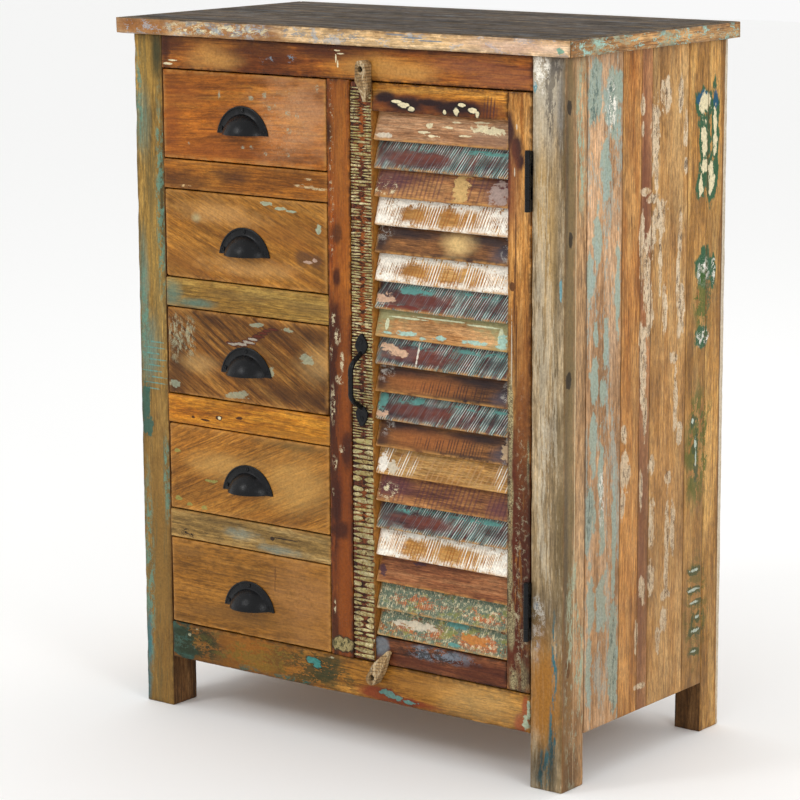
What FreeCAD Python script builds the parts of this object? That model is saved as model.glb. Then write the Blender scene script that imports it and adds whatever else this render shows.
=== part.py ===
import FreeCAD, Part
import math
import os
import re
from Sketcher import Constraint

# Highboard of reclaimed timber, millimetres, +Z up. X runs along the front and Y runs
# from the front to the back. The origin is at floor level, in the middle of the
# space that the whole piece takes up, door handle included.

doc = FreeCAD.newDocument("highboard")
sheet = doc.addObject("Spreadsheet::Sheet", "sizes")

# Driving sizes, millimetres unless the name says otherwise
SIZES = {
    "total_height": 970.0,
    "carcass_width": 715.0,
    "carcass_depth": 383.0,
    "top_thickness": 22.0,
    "top_overhang_side": 18.5,
    "top_overhang_front": 16.0,
    "top_overhang_back": 1.0,
    "top_edging_width": 14.0,
    "top_plank_count": 5.0,
    "top_arris": 1.2,
    "post_width": 50.0,
    "post_depth": 50.0,
    "back_post_width": 41.0,
    "back_post_depth": 48.0,
    "back_panel_thickness": 5.0,
    "back_rebate_width": 12.0,
    "back_rail_height": 45.0,
    "back_rail_thickness": 20.0,
    "side_plank_thickness": 18.0,
    "side_plank_bottom": 69.5,
    "side_plank_a_width": 80.0,
    "side_plank_b_width": 44.0,
    "side_plank_c_width": 25.0,
    "side_plank_e_width": 49.0,
    "rail_thickness": 22.0,
    "top_rail_height": 45.0,
    "bottom_rail_height": 51.5,
    "bottom_rail_clearance": 72.5,
    "drawer_rail_height": 40.0,
    "drawer_opening_width": 287.0,
    "centre_post_width": 38.0,
    "tenon_length": 20.0,
    "tenon_thickness": 8.0,
    "tenon_shoulder": 6.0,
    "joint_clearance": 0.2,
    "run_out": 1.0,
    "partition_thickness": 16.0,
    "floor_thickness": 15.0,
    "shelf_thickness": 16.0,
    "shelf_height": 520.0,
    "cleat_height": 25.0,
    "cleat_thickness": 18.0,
    "runner_height": 18.0,
    "guide_height": 14.0,
    "runner_ledge": 3.0,
    "drawer_count": 5.0,
    "fit_gap": 1.5,
    "running_gap": 0.3,
    "drawer_front_thickness": 20.0,
    "drawer_front_arris": 1.2,
    "drawer_side_gap": 2.5,
    "drawer_side_thickness": 12.0,
    "drawer_side_height": 96.0,
    "drawer_box_depth": 306.0,
    "drawer_bottom_thickness": 5.0,
    "drawer_bottom_lift": 7.0,
    "drawer_groove_depth": 5.0,
    "door_thickness": 22.0,
    "door_stile_width": 36.0,
    "door_top_rail_height": 37.0,
    "door_bottom_rail_height": 36.0,
    "slat_count": 19.0,
    "slat_thickness": 7.0,
    "slat_tilt": 18.0,
    "slat_lap": 5.0,
    "slat_setback": 1.5,
    "slat_housing": 6.0,
    "pull_drop": 1.5,
    "pull_width": 90.0,
    "pull_height": 38.5,
    "pull_flange": 11.0,
    "pull_metal": 2.2,
    "pull_bevel": 1.2,
    "pull_reach": 25.0,
    "pull_side_count": 40.0,
    "pull_screw_inset": 5.5,
    "pull_screw_rise": 7.0,
    "handle_reach": 30.0,
    "handle_length": 126.0,
    "handle_bar_radius": 4.0,
    "handle_foot_length": 26.5,
    "handle_foot_width": 21.0,
    "handle_foot_waist": 11.0,
    "handle_foot_belly": 7.5,
    "handle_foot_bow": 26.0,
    "handle_foot_thickness": 4.0,
    "handle_screw_shift": 2.0,
    "handle_bend": 18.0,
    "handle_turn": 60.0,
    "handle_bar_sides": 8.0,
    "handle_height": 508.5,
    "latch_width": 17.0,
    "latch_end": 11.5,
    "latch_reach": 43.0,
    "latch_tip_width": 4.5,
    "latch_shoulder": 16.0,
    "latch_thickness": 15.5,
    "latch_tip_thickness": 6.0,
    "latch_bore_radius": 2.3,
    "latch_recess_radius": 3.9,
    "latch_recess_depth": 9.0,
    "latch_screw_head": 2.0,
    "latch_top_inset": 28.3,
    "latch_top_rise": 16.0,
    "latch_bottom_inset": 41.0,
    "latch_bottom_drop": 16.0,
    "latch_bottom_turn": 30.0,
    "hinge_height": 76.0,
    "hinge_leaf_depth": 18.0,
    "hinge_leaf_thickness": 1.5,
    "hinge_knuckle_radius": 3.8,
    "hinge_pin_radius": 1.7,
    "hinge_pin_proud": 8.0,
    "hinge_inset": 72.5,
    "hinge_knuckle_count": 5.0,
    "hinge_screw_count": 3.0,
    "hinge_screw_shift": 1.0,
    "screw_head_radius": 3.2,
    "screw_head_depth": 1.2,
    "screw_shank_radius": 1.7,
    "screw_length": 15.0,
    "screw_clearance": 0.15,
    "screw_side_count": 8.0,
}

# Places and lengths that follow from the driving sizes
PLACES = {
    "left_x": "-carcass_width / 2",
    "right_x": "carcass_width / 2",
    "front_y": "(handle_reach - carcass_depth - top_overhang_back) / 2",
    "back_y": "front_y + carcass_depth",
    "underside": "total_height - top_thickness",
    "opening_top": "underside - top_rail_height",
    "opening_bottom": "bottom_rail_clearance + bottom_rail_height",
    "drawer_left": "left_x + post_width",
    "drawer_right": "drawer_left + drawer_opening_width",
    "door_left": "drawer_right + centre_post_width",
    "door_right": "right_x - post_width",
    "drawer_opening": "(opening_top - opening_bottom - (drawer_count - 1) * drawer_rail_height) / drawer_count",
    "drawer_pitch": "drawer_opening + drawer_rail_height",
    "tenon_y": "front_y + (rail_thickness - tenon_thickness) / 2",
    "side_front": "front_y + post_depth",
    "side_back": "back_y - back_post_depth",
    "panel_front": "back_y - back_panel_thickness",
    "rail_back_front": "panel_front - back_rail_thickness",
    "partition_left": "drawer_right + (centre_post_width - partition_thickness) / 2",
    "partition_right": "partition_left + partition_thickness",
    "inner_left": "left_x + side_plank_thickness",
    "inner_right": "right_x - side_plank_thickness",
    "behind_rail": "front_y + rail_thickness",
    "box_left": "drawer_left + drawer_side_gap",
    "box_right": "drawer_right - drawer_side_gap",
    "box_front": "front_y + drawer_front_thickness",
    "drawer_middle": "(drawer_left + drawer_right) / 2",
    "panel_x0": "door_left + fit_gap",
    "panel_x1": "door_right - fit_gap",
    "panel_z0": "opening_bottom + fit_gap",
    "panel_z1": "opening_top - fit_gap",
    "field_x0": "panel_x0 + door_stile_width",
    "field_x1": "panel_x1 - door_stile_width",
    "field_z0": "panel_z0 + door_bottom_rail_height",
    "field_z1": "panel_z1 - door_top_rail_height",
    "slat_seat": "slat_thickness * sin(slat_tilt) + joint_clearance",
    "slat_pitch": "(field_z1 - field_z0 - slat_seat) / slat_count",
    "slat_width": "slat_pitch / cos(slat_tilt) + slat_lap",
    "door_tenon_y": "front_y + slat_setback + slat_thickness",
    "pull_radius": "(pull_width ^ 2 / 4 + pull_height ^ 2) / (2 * pull_height)",
    "pull_chord": "pull_radius - pull_height",
    "dome_radius": "pull_radius - pull_flange",
    "dome_bend": "(dome_radius ^ 2 + (pull_reach - pull_metal) ^ 2) / (2 * (pull_reach - pull_metal))",
    "dome_lean": "asin(dome_radius / dome_bend)",
    "hollow_bend": "dome_bend - pull_metal",
    "hollow_lean": "acos((dome_bend - pull_reach) / hollow_bend)",
    "handle_inner": "handle_length / 2 - handle_foot_length",
    "handle_line": "handle_reach - handle_bar_radius",
    "pin_x": "door_right - fit_gap / 2",
    "pin_y": "front_y - hinge_pin_proud",
    "knuckle_length": "(hinge_height - (hinge_knuckle_count - 1) * running_gap) / hinge_knuckle_count",
    "knuckle_bore": "hinge_pin_radius + running_gap",
    "latch_face": "front_y - running_gap",
    "latch_top_x": "panel_x0 + latch_top_inset",
    "latch_top_z": "opening_top + latch_top_rise",
    "latch_bottom_x": "panel_x0 + latch_bottom_inset",
    "latch_bottom_z": "opening_bottom - latch_bottom_drop",
}

for row, (alias, number) in enumerate(SIZES.items(), start=1):
    sheet.set("A%d" % row, alias)
    sheet.set("B%d" % row, repr(number))
    sheet.setAlias("B%d" % row, alias)
doc.recompute()

NODES = []


def formula(text):
    """Write a formula of named sizes and places as an expression of the document."""
    def written_out(match):
        word = match.group(0)
        if word in PLACES:
            return "(" + formula(PLACES[word]) + ")"
        if word in SIZES:
            return "sizes." + word
        return word
    return re.sub(r"[a-z_][a-z_0-9]*", written_out, text)


def number(text):
    """Give the value of a formula in millimetres."""
    return float(sheet.evalExpression(formula(text)))


def bind(thing, **properties):
    """Bind properties of an object to formulas of the sheet."""
    for name, text in properties.items():
        thing.setExpression(name, formula(text))


def place(thing, x, y, z):
    """Bind the position of an object."""
    bind(thing, **{"Placement.Base.x": x, "Placement.Base.y": y, "Placement.Base.z": z})


def node(thing, label):
    """Keep an object as a sub-part of the highboard under its own name."""
    thing.Label = label
    NODES.append(thing)
    return thing


def block(name, x, y, z, dx, dy, dz):
    """A board from its lowest corner and its three sizes."""
    board = doc.addObject("Part::Box", name)
    bind(board, Length=dx, Width=dy, Height=dz)
    place(board, x, y, z)
    return board


DIRECTIONS = {
    "+z": FreeCAD.Rotation(),
    "+x": FreeCAD.Rotation(FreeCAD.Vector(0, 1, 0), 90),
    "-x": FreeCAD.Rotation(FreeCAD.Vector(0, 1, 0), -90),
    "+y": FreeCAD.Rotation(FreeCAD.Vector(1, 0, 0), -90),
    "-y": FreeCAD.Rotation(FreeCAD.Vector(1, 0, 0), 90),
}


def rod(name, x, y, z, radius, length, towards="+z"):
    """A round bar that starts at a point and runs towards one direction."""
    bar = doc.addObject("Part::Cylinder", name)
    bar.Placement.Rotation = DIRECTIONS[towards]
    bind(bar, Radius=radius, Height=length)
    place(bar, x, y, z)
    return bar


def prism(name, x, y, z, radius, length, sides, towards="+z"):
    """A bar of regular section that starts at a point and runs towards one direction."""
    bar = doc.addObject("Part::Prism", name)
    bar.Polygon = int(SIZES[sides])
    bar.Placement.Rotation = DIRECTIONS[towards]
    bind(bar, Circumradius=radius, Height=length)
    place(bar, x, y, z)
    return bar


def turned(name, x, z, levels):
    """A many-sided dished form about a line along Y, from pairs of radius and place."""
    sides = int(SIZES["pull_side_count"])
    turns = [2 * math.pi * step / sides for step in range(sides)]
    start = number(levels[0][1])
    rings = [[FreeCAD.Vector(number(radius) * math.cos(turn), number(y) - start,
                             number(radius) * math.sin(turn)) for turn in turns]
             for radius, y in levels]
    faces = [Part.Face(Part.makePolygon(ring + ring[:1])) for ring in (rings[0], rings[-1])]
    for near, far in zip(rings, rings[1:]):
        for step in range(sides):
            after = (step + 1) % sides
            faces.append(Part.Face(Part.makePolygon(
                [near[step], near[after], far[after], far[step], near[step]])))
    shell = Part.makeShell(faces)
    shell.sewShape()
    solid = Part.makeSolid(shell)
    if solid.Volume < 0:
        solid.reverse()
    form = doc.addObject("Part::Feature", name)
    form.Shape = solid
    place(form, x, levels[0][1], z)
    return form


def joined(name, pieces):
    """One solid made of touching pieces."""
    fuse = doc.addObject("Part::MultiFuse", name)
    fuse.Shapes = pieces
    fuse.Refine = True
    return fuse


def together(name, pieces):
    """Like pieces kept as separate solids under one name."""
    compound = doc.addObject("Part::Compound", name)
    compound.Links = pieces
    return compound


def cut(name, base, tools):
    """A piece with its mortises, grooves or holes taken out."""
    result = doc.addObject("Part::Cut", name)
    result.Base = base
    result.Tool = tools[0] if len(tools) == 1 else together(name + "_tools", tools)
    result.Refine = True
    return result


def eased(name, base, keep, size):
    """A piece whose edges that pass the test are chamfered."""
    doc.recompute()
    result = doc.addObject("Part::Chamfer", name)
    result.Base = base
    amount = number(size)
    result.Edges = [(index, amount, amount)
                    for index, edge in enumerate(base.Shape.Edges, start=1) if keep(edge)]
    return result


# Mortise and tenon joints: each tenon is a box, and its mortise is the same box grown
# by the joint clearance, and by the run-out at its end and its mouth

def tenon(name, box):
    """The solid of a tenon."""
    return block(name, *box)


def mortise(name, box, along):
    """The cutting solid of the mortise that takes a tenon."""
    x, y, z, dx, dy, dz = box
    grow = {"x": "joint_clearance", "y": "joint_clearance", "z": "joint_clearance"}
    grow[along] = "run_out"
    return block(name,
                 "%s - %s" % (x, grow["x"]), "%s - %s" % (y, grow["y"]),
                 "%s - %s" % (z, grow["z"]), "%s + 2 * %s" % (dx, grow["x"]),
                 "%s + 2 * %s" % (dy, grow["y"]), "%s + 2 * %s" % (dz, grow["z"]))


def end_tenon(rail_x, rail_z, rail_height, side):
    """The box of a tenon on the left or the right end of a front rail."""
    start = "%s - tenon_length" % rail_x if side == "left" else rail_x
    return (start, "tenon_y", "%s + tenon_shoulder" % rail_z,
            "tenon_length", "tenon_thickness", "%s - 2 * tenon_shoulder" % rail_height)


RAIL_LEVELS = {
    "top": ("opening_top", "top_rail_height"),
    "bottom": ("bottom_rail_clearance", "bottom_rail_height"),
}
DRAWER_RAIL_LEVELS = [
    ("opening_bottom + %d * drawer_pitch + drawer_opening" % step, "drawer_rail_height")
    for step in reversed(range(int(SIZES["drawer_count"]) - 1))
]


def make_top():
    """Five planks across the top, held in a frame of edging strips."""
    x0 = "left_x - top_overhang_side"
    x1 = "right_x + top_overhang_side"
    y0 = "front_y - top_overhang_front"
    y1 = "back_y + top_overhang_back"
    inner_width = "(%s) - (%s) - 2 * top_edging_width" % (x1, x0)
    plank_depth = "((%s) - (%s) - 2 * top_edging_width) / top_plank_count" % (y1, y0)
    planks = []
    for step in range(int(SIZES["top_plank_count"])):
        planks.append(block("top_plank_%d" % (step + 1),
                            "%s + top_edging_width" % x0,
                            "%s + top_edging_width + %d * %s" % (y0, step, plank_depth),
                            "underside", inner_width, plank_depth, "top_thickness"))
    node(together("top_planks", planks), "top_planks")

    full_width = "(%s) - (%s)" % (x1, x0)
    side_length = "(%s) - (%s) - 2 * top_edging_width" % (y1, y0)
    strips = [
        block("edging_front", x0, y0, "underside", full_width, "top_edging_width", "top_thickness"),
        block("edging_back", x0, "%s - top_edging_width" % y1, "underside",
              full_width, "top_edging_width", "top_thickness"),
        block("edging_left", x0, "%s + top_edging_width" % y0, "underside",
              "top_edging_width", side_length, "top_thickness"),
        block("edging_right", "%s - top_edging_width" % x1, "%s + top_edging_width" % y0,
              "underside", "top_edging_width", side_length, "top_thickness"),
    ]
    limits = [number(x0), number(x1), number(y0), number(y1)]

    def on_outer_face(edge):
        box = edge.BoundBox
        gaps = (abs(box.XMin - limits[0]) + abs(box.XMax - limits[0]),
                abs(box.XMin - limits[1]) + abs(box.XMax - limits[1]),
                abs(box.YMin - limits[2]) + abs(box.YMax - limits[2]),
                abs(box.YMin - limits[3]) + abs(box.YMax - limits[3]))
        return min(gaps) < 1e-4 and box.ZLength < 1e-4

    strips = [eased(strip.Name + "_eased", strip, on_outer_face, "top_arris") for strip in strips]
    node(together("top_edging", strips), "top_edging")


def make_legs():
    """Four legs: the front pair takes the rails, the back pair is rebated for the panel."""
    levels = [RAIL_LEVELS["top"], RAIL_LEVELS["bottom"]] + DRAWER_RAIL_LEVELS
    mortises = []
    for index, (z, height) in enumerate(levels):
        box = end_tenon("drawer_left", z, height, "left")
        mortises.append(mortise("leg_left_mortise_%d" % index, box, "x"))
    stock = block("leg_front_left_stock", "left_x", "front_y", "0",
                  "post_width", "post_depth", "underside")
    node(cut("leg_front_left", stock, mortises), "leg_front_left")

    mortises = []
    for index, (z, height) in enumerate(levels[:2]):
        box = end_tenon("door_right", z, height, "right")
        mortises.append(mortise("leg_right_mortise_%d" % index, box, "x"))
    stock = block("leg_front_right_stock", "door_right", "front_y", "0",
                  "post_width", "post_depth", "underside")
    holes = mortises
    for z in hinge_levels():
        holes.append(block("leg_hinge_bed", "door_right - run_out", "front_y - run_out", z,
                           "hinge_leaf_thickness + run_out", "hinge_leaf_depth + run_out", "hinge_height"))
        holes += [screw_hole("leg_hinge_pilot", *spot, "+x") for spot in hinge_screw_spots(z, "frame")]
    node(cut("leg_front_right", stock, holes), "leg_front_right")

    for side, x, rebate_x in (("left", "left_x", "left_x + back_post_width - back_rebate_width"),
                              ("right", "right_x - back_post_width", "right_x - back_post_width - run_out")):
        stock = block("leg_back_%s_stock" % side, x, "side_back", "0",
                      "back_post_width", "back_post_depth", "underside")
        rebate = block("leg_back_%s_rebate" % side, rebate_x, "panel_front", "bottom_rail_clearance",
                       "back_rebate_width + run_out", "back_panel_thickness + run_out", "underside")
        node(cut("leg_back_%s" % side, stock, [rebate]), "leg_back_%s" % side)


def make_front_frame():
    """Top and bottom rails, four drawer rails and the centre post between them."""
    for name in ("top", "bottom"):
        z, height = RAIL_LEVELS[name]
        stock = block("rail_%s_stock" % name, "drawer_left", "front_y", z,
                      "door_right - drawer_left", "rail_thickness", height)
        ends = [tenon("rail_%s_%s" % (name, side), end_tenon(x, z, height, side))
                for side, x in (("left", "drawer_left"), ("right", "door_right"))]
        rail = joined("rail_%s_tenoned" % name, [stock] + ends)
        hole = mortise("rail_%s_mortise" % name, centre_tenon(name), "z")
        tools = [hole, latch_pilot(name)]
        node(cut("rail_%s" % name, rail, tools), "%s_rail" % name)

    rails = []
    for index, (z, height) in enumerate(DRAWER_RAIL_LEVELS, start=1):
        stock = block("drawer_rail_%d_stock" % index, "drawer_left", "front_y", z,
                      "drawer_opening_width", "rail_thickness", height)
        ends = [tenon("drawer_rail_%d_%s" % (index, side), short_tenon(x, z, height, side))
                for side, x in (("left", "drawer_left"), ("right", "drawer_right"))]
        rails.append(joined("drawer_rail_%d" % index, [stock] + ends))
    node(together("drawer_rails", rails), "drawer_rails")

    stock = block("centre_post_stock", "drawer_right", "front_y", "opening_bottom",
                  "centre_post_width", "rail_thickness", "opening_top - opening_bottom")
    ends = [tenon("centre_post_%s" % name, centre_tenon(name)) for name in ("top", "bottom")]
    post = joined("centre_post_tenoned", [stock] + ends)
    holes = [mortise("centre_mortise_%d" % index, short_tenon("drawer_right", z, height, "right"), "x")
             for index, (z, height) in enumerate(DRAWER_RAIL_LEVELS)]
    node(cut("centre_post", post, holes), "centre_post")


def short_tenon(rail_x, rail_z, rail_height, side):
    """Drawer rails reach full length into the leg and half length into the centre post."""
    if side == "left":
        return end_tenon(rail_x, rail_z, rail_height, side)
    x, y, z, _, dy, dz = end_tenon(rail_x, rail_z, rail_height, side)
    return (x, y, z, "tenon_length / 2", dy, dz)


def centre_tenon(name):
    """The box of the tenon at the top or the bottom of the centre post."""
    z = "opening_top" if name == "top" else "opening_bottom - tenon_length"
    return ("drawer_right + tenon_shoulder", "tenon_y", z,
            "centre_post_width - 2 * tenon_shoulder", "tenon_thickness", "tenon_length")


def make_sides():
    """Five upright planks a side between the legs: the fourth fills what the others leave."""
    first = ["side_plank_a_width", "side_plank_b_width", "side_plank_c_width"]
    last = "side_plank_e_width"
    rest = "side_back - side_front - " + " - ".join(first + [last])
    for side, x in (("left", "left_x"), ("right", "inner_right")):
        y = "side_front"
        planks = []
        for index, width in enumerate(first + [rest, last], start=1):
            planks.append(block("side_plank_%s_%d" % (side, index), x, y, "side_plank_bottom",
                                "side_plank_thickness", width, "underside - side_plank_bottom"))
            y = "%s + %s" % (y, width)
        node(together("side_planks_%s" % side, planks), "side_planks_%s" % side)


def make_back():
    """A thin panel in the rebates of the back legs, on two rails between them."""
    rail_x = "left_x + back_post_width"
    rail_length = "carcass_width - 2 * back_post_width"
    node(block("back_panel", "%s - back_rebate_width" % rail_x, "panel_front", "bottom_rail_clearance",
               "%s + 2 * back_rebate_width" % rail_length, "back_panel_thickness",
               "underside - bottom_rail_clearance"), "back_panel")
    rails = [block("back_rail_%s" % name, rail_x, "rail_back_front", z,
                   rail_length, "back_rail_thickness", "back_rail_height")
             for name, z in (("top", "underside - back_rail_height"), ("bottom", "bottom_rail_clearance"))]
    node(together("back_rails", rails), "back_rails")


def make_inside():
    """Floor, partition, shelf, their cleats, and the runners and guides of the drawers."""
    floor_z = "opening_bottom - floor_thickness"
    floor = block("floor_stock", "inner_left", "behind_rail", floor_z,
                  "inner_right - inner_left", "panel_front - behind_rail", "floor_thickness")
    notches = [
        block("notch_front_left", "left_x", "front_y", floor_z, "post_width", "post_depth",
              "floor_thickness"),
        block("notch_front_right", "door_right", "front_y", floor_z, "post_width", "post_depth",
              "floor_thickness"),
        block("notch_back_left", "left_x", "side_back", floor_z, "back_post_width",
              "back_post_depth", "floor_thickness"),
        block("notch_back_right", "right_x - back_post_width", "side_back", floor_z,
              "back_post_width", "back_post_depth", "floor_thickness"),
        block("notch_rail", "inner_left", "rail_back_front", floor_z, "inner_right - inner_left",
              "back_rail_thickness", "bottom_rail_clearance + back_rail_height - (%s)" % floor_z),
    ]
    node(cut("cabinet_floor", floor, notches), "cabinet_floor")

    node(block("partition", "partition_left", "behind_rail", "opening_bottom", "partition_thickness",
               "rail_back_front - behind_rail", "underside - opening_bottom"), "partition")

    side_length = "side_back - side_front"
    node(block("shelf", "partition_right", "side_front", "shelf_height",
               "inner_right - partition_right", side_length, "shelf_thickness"), "shelf")

    cleat_right = "inner_right - cleat_thickness"
    under_shelf = "shelf_height - cleat_height"
    under_floor = "%s - cleat_height" % floor_z
    under_top = "underside - cleat_height"
    cleats = [block("cleat_%s" % name, x, "side_front", z, "cleat_thickness", side_length,
                    "cleat_height")
              for name, x, z in (("shelf_left", "partition_right", under_shelf),
                                 ("shelf_right", cleat_right, under_shelf),
                                 ("floor_left", "inner_left", under_floor),
                                 ("floor_right", cleat_right, under_floor),
                                 ("top_left", "inner_left", under_top),
                                 ("top_right", cleat_right, under_top))]
    node(together("cleats", cleats), "cleats")

    ledge_left = "box_left + drawer_side_thickness + runner_ledge"
    ledge_right = "box_right - drawer_side_thickness - runner_ledge"
    guide_left = "box_left - running_gap"
    guide_right = "box_right + running_gap"
    runners = []
    for index, (z, height) in enumerate(DRAWER_RAIL_LEVELS, start=1):
        level = "%s + %s" % (z, height)
        ledges = (("left", "inner_left", "(%s) - (inner_left)" % ledge_left,
                   "inner_left", "(%s) - (inner_left)" % guide_left),
                  ("right", ledge_right, "partition_left - (%s)" % ledge_right,
                   guide_right, "partition_left - (%s)" % guide_right))
        for side, x, dx, guide_x, guide_dx in ledges:
            name = "runner_%d_%s" % (index, side)
            ledge = block(name + "_ledge", x, "side_front", "%s - runner_height" % level, dx,
                          side_length, "runner_height")
            guide = block(name + "_guide", guide_x, "side_front", level, guide_dx, side_length,
                          "guide_height")
            runners.append(joined(name, [ledge, guide]))
    runners.append(block("floor_guide_left", "inner_left", "side_front", "opening_bottom",
                         "%s - inner_left" % guide_left, side_length, "guide_height"))
    runners.append(block("floor_guide_right", guide_right, "side_front", "opening_bottom",
                         "partition_left - (%s)" % guide_right, side_length, "guide_height"))
    node(together("drawer_runners", runners), "drawer_runners")


def screw_solid(name, x, y, z, towards):
    """A screw whose sunk head is flush with the face it starts from."""
    head = prism(name + "_head", x, y, z, "screw_head_radius", "screw_head_depth",
                 "screw_side_count", towards)
    shank = prism(name + "_shank", x, y, z, "screw_shank_radius", "screw_length",
                  "screw_side_count", towards)
    return joined(name, [head, shank])


def screw_hole(name, x, y, z, towards):
    """The counterbored hole of a screw, one clearance larger all round."""
    head = prism(name + "_sink", x, y, z, "screw_head_radius + screw_clearance",
                 "screw_head_depth", "screw_side_count", towards)
    shank = prism(name + "_drill", x, y, z, "screw_shank_radius + screw_clearance",
                  "screw_length + run_out", "screw_side_count", towards)
    return joined(name, [head, shank])


def sketch_on(body, role, name):
    """A sketch on one of the origin planes of a body."""
    sketch = body.newObject("Sketcher::SketchObject", name)
    plane = [feature for feature in body.Origin.OriginFeatures if feature.Role == role][0]
    sketch.AttachmentSupport = [(plane, "")]
    sketch.MapMode = "FlatFace"
    return sketch


def outline(sketch, corners, bows=None, closed=True):
    """Lines between corners given as formulas; a bow turns one of them into an arc.

    bows maps the index of a line to (radius formula, side), where side is +1 for an arc
    that bulges to the right of the way from its start to its end, and -1 to the left.
    """
    bows = bows or {}
    points = [FreeCAD.Vector(number(x), number(y), 0) for x, y in corners]
    count = len(points) if closed else len(points) - 1
    ends = {}
    for index in range(count):
        start, end = points[index], points[(index + 1) % len(points)]
        if index not in bows:
            edge = sketch.addGeometry(Part.LineSegment(start, end), False)
            ends[index] = (edge, 1, 2)
            continue
        radius_text, side = bows[index]
        radius = number(radius_text)
        chord = end.sub(start)
        right = FreeCAD.Vector(chord.y, -chord.x, 0).normalize()
        to_centre = math.sqrt(max(radius ** 2 - (chord.Length / 2) ** 2, 0.0))
        centre = start.add(end).multiply(0.5).sub(right.multiply(side * to_centre))
        first, last = (start, end) if side > 0 else (end, start)
        angles = [math.atan2(point.y - centre.y, point.x - centre.x) for point in (first, last)]
        circle_of = Part.Circle(centre, FreeCAD.Vector(0, 0, 1), radius)
        edge = sketch.addGeometry(Part.ArcOfCircle(circle_of, *angles), False)
        ends[index] = (edge, 1, 2) if side > 0 else (edge, 2, 1)
        place_at = sketch.addConstraint(Constraint("Radius", edge, radius))
        sketch.setExpression("Constraints[%d]" % place_at, formula(radius_text))
    for index in range(count):
        edge, first, last = ends[index]
        after = ends.get((index + 1) % len(points))
        if after and (closed or index + 1 < count):
            sketch.addConstraint(Constraint("Coincident", edge, last, after[0], after[1]))
    for index, (x, y) in enumerate(corners):
        if index in ends:
            edge, spot, _ = ends[index]
        else:
            edge, _, spot = ends[index - 1]
        for kind, level, text in (("DistanceX", "Vertical", x), ("DistanceY", "Horizontal", y)):
            if text == "0":
                sketch.addConstraint(Constraint(level, -1, 1, edge, spot))
                continue
            place_at = sketch.addConstraint(Constraint(kind, -1, 1, edge, spot, number(text)))
            sketch.setExpression("Constraints[%d]" % place_at, formula(text))


def rectangle(sketch, x, y, dx, dy):
    """A rectangle from its first corner and its two sizes."""
    outline(sketch, [(x, y), ("%s + %s" % (x, dx), y),
                     ("%s + %s" % (x, dx), "%s + %s" % (y, dy)), (x, "%s + %s" % (y, dy))])


def circle(sketch, x, y, radius):
    """A circle about a point."""
    centre = FreeCAD.Vector(number(x), number(y), 0)
    edge = sketch.addGeometry(Part.Circle(centre, FreeCAD.Vector(0, 0, 1), number(radius)), False)
    for kind, text, ends in (("DistanceX", x, (-1, 1, edge, 3)), ("DistanceY", y, (-1, 1, edge, 3)),
                             ("Radius", radius, (edge,))):
        place_at = sketch.addConstraint(Constraint(kind, *ends, number(text)))
        sketch.setExpression("Constraints[%d]" % place_at, formula(text))


def body_named(name, x, y, z):
    """A body with its origin at a point."""
    body = doc.addObject("PartDesign::Body", name)
    place(body, x, y, z)
    return body


def pad(body, sketch, length, reversed_way=False):
    """A sketch of the body drawn out to a length."""
    feature = body.newObject("PartDesign::Pad", sketch.Name + "_pad")
    feature.Profile = sketch
    feature.Reversed = reversed_way
    bind(feature, Length=length)
    return feature


def pocket(body, sketch, length, reversed_way=False, both_ways=False):
    """A sketch of the body cut in to a depth."""
    feature = body.newObject("PartDesign::Pocket", sketch.Name + "_pocket")
    feature.Profile = sketch
    feature.Reversed = reversed_way
    feature.Midplane = both_ways
    bind(feature, Length=length)
    return feature


DOOR_TENON_HEIGHTS = {
    "bottom": ("panel_z0", "door_bottom_rail_height"),
    "top": ("field_z1", "door_top_rail_height"),
}


def door_tenon(name, side):
    """The box of the tenon of a door rail in the left or the right stile."""
    z, height = DOOR_TENON_HEIGHTS[name]
    x = "field_x0 - tenon_length" if side == "left" else "field_x1"
    return (x, "door_tenon_y", "%s + tenon_shoulder" % z, "tenon_length", "tenon_thickness",
            "%s - 2 * tenon_shoulder" % height)


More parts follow.
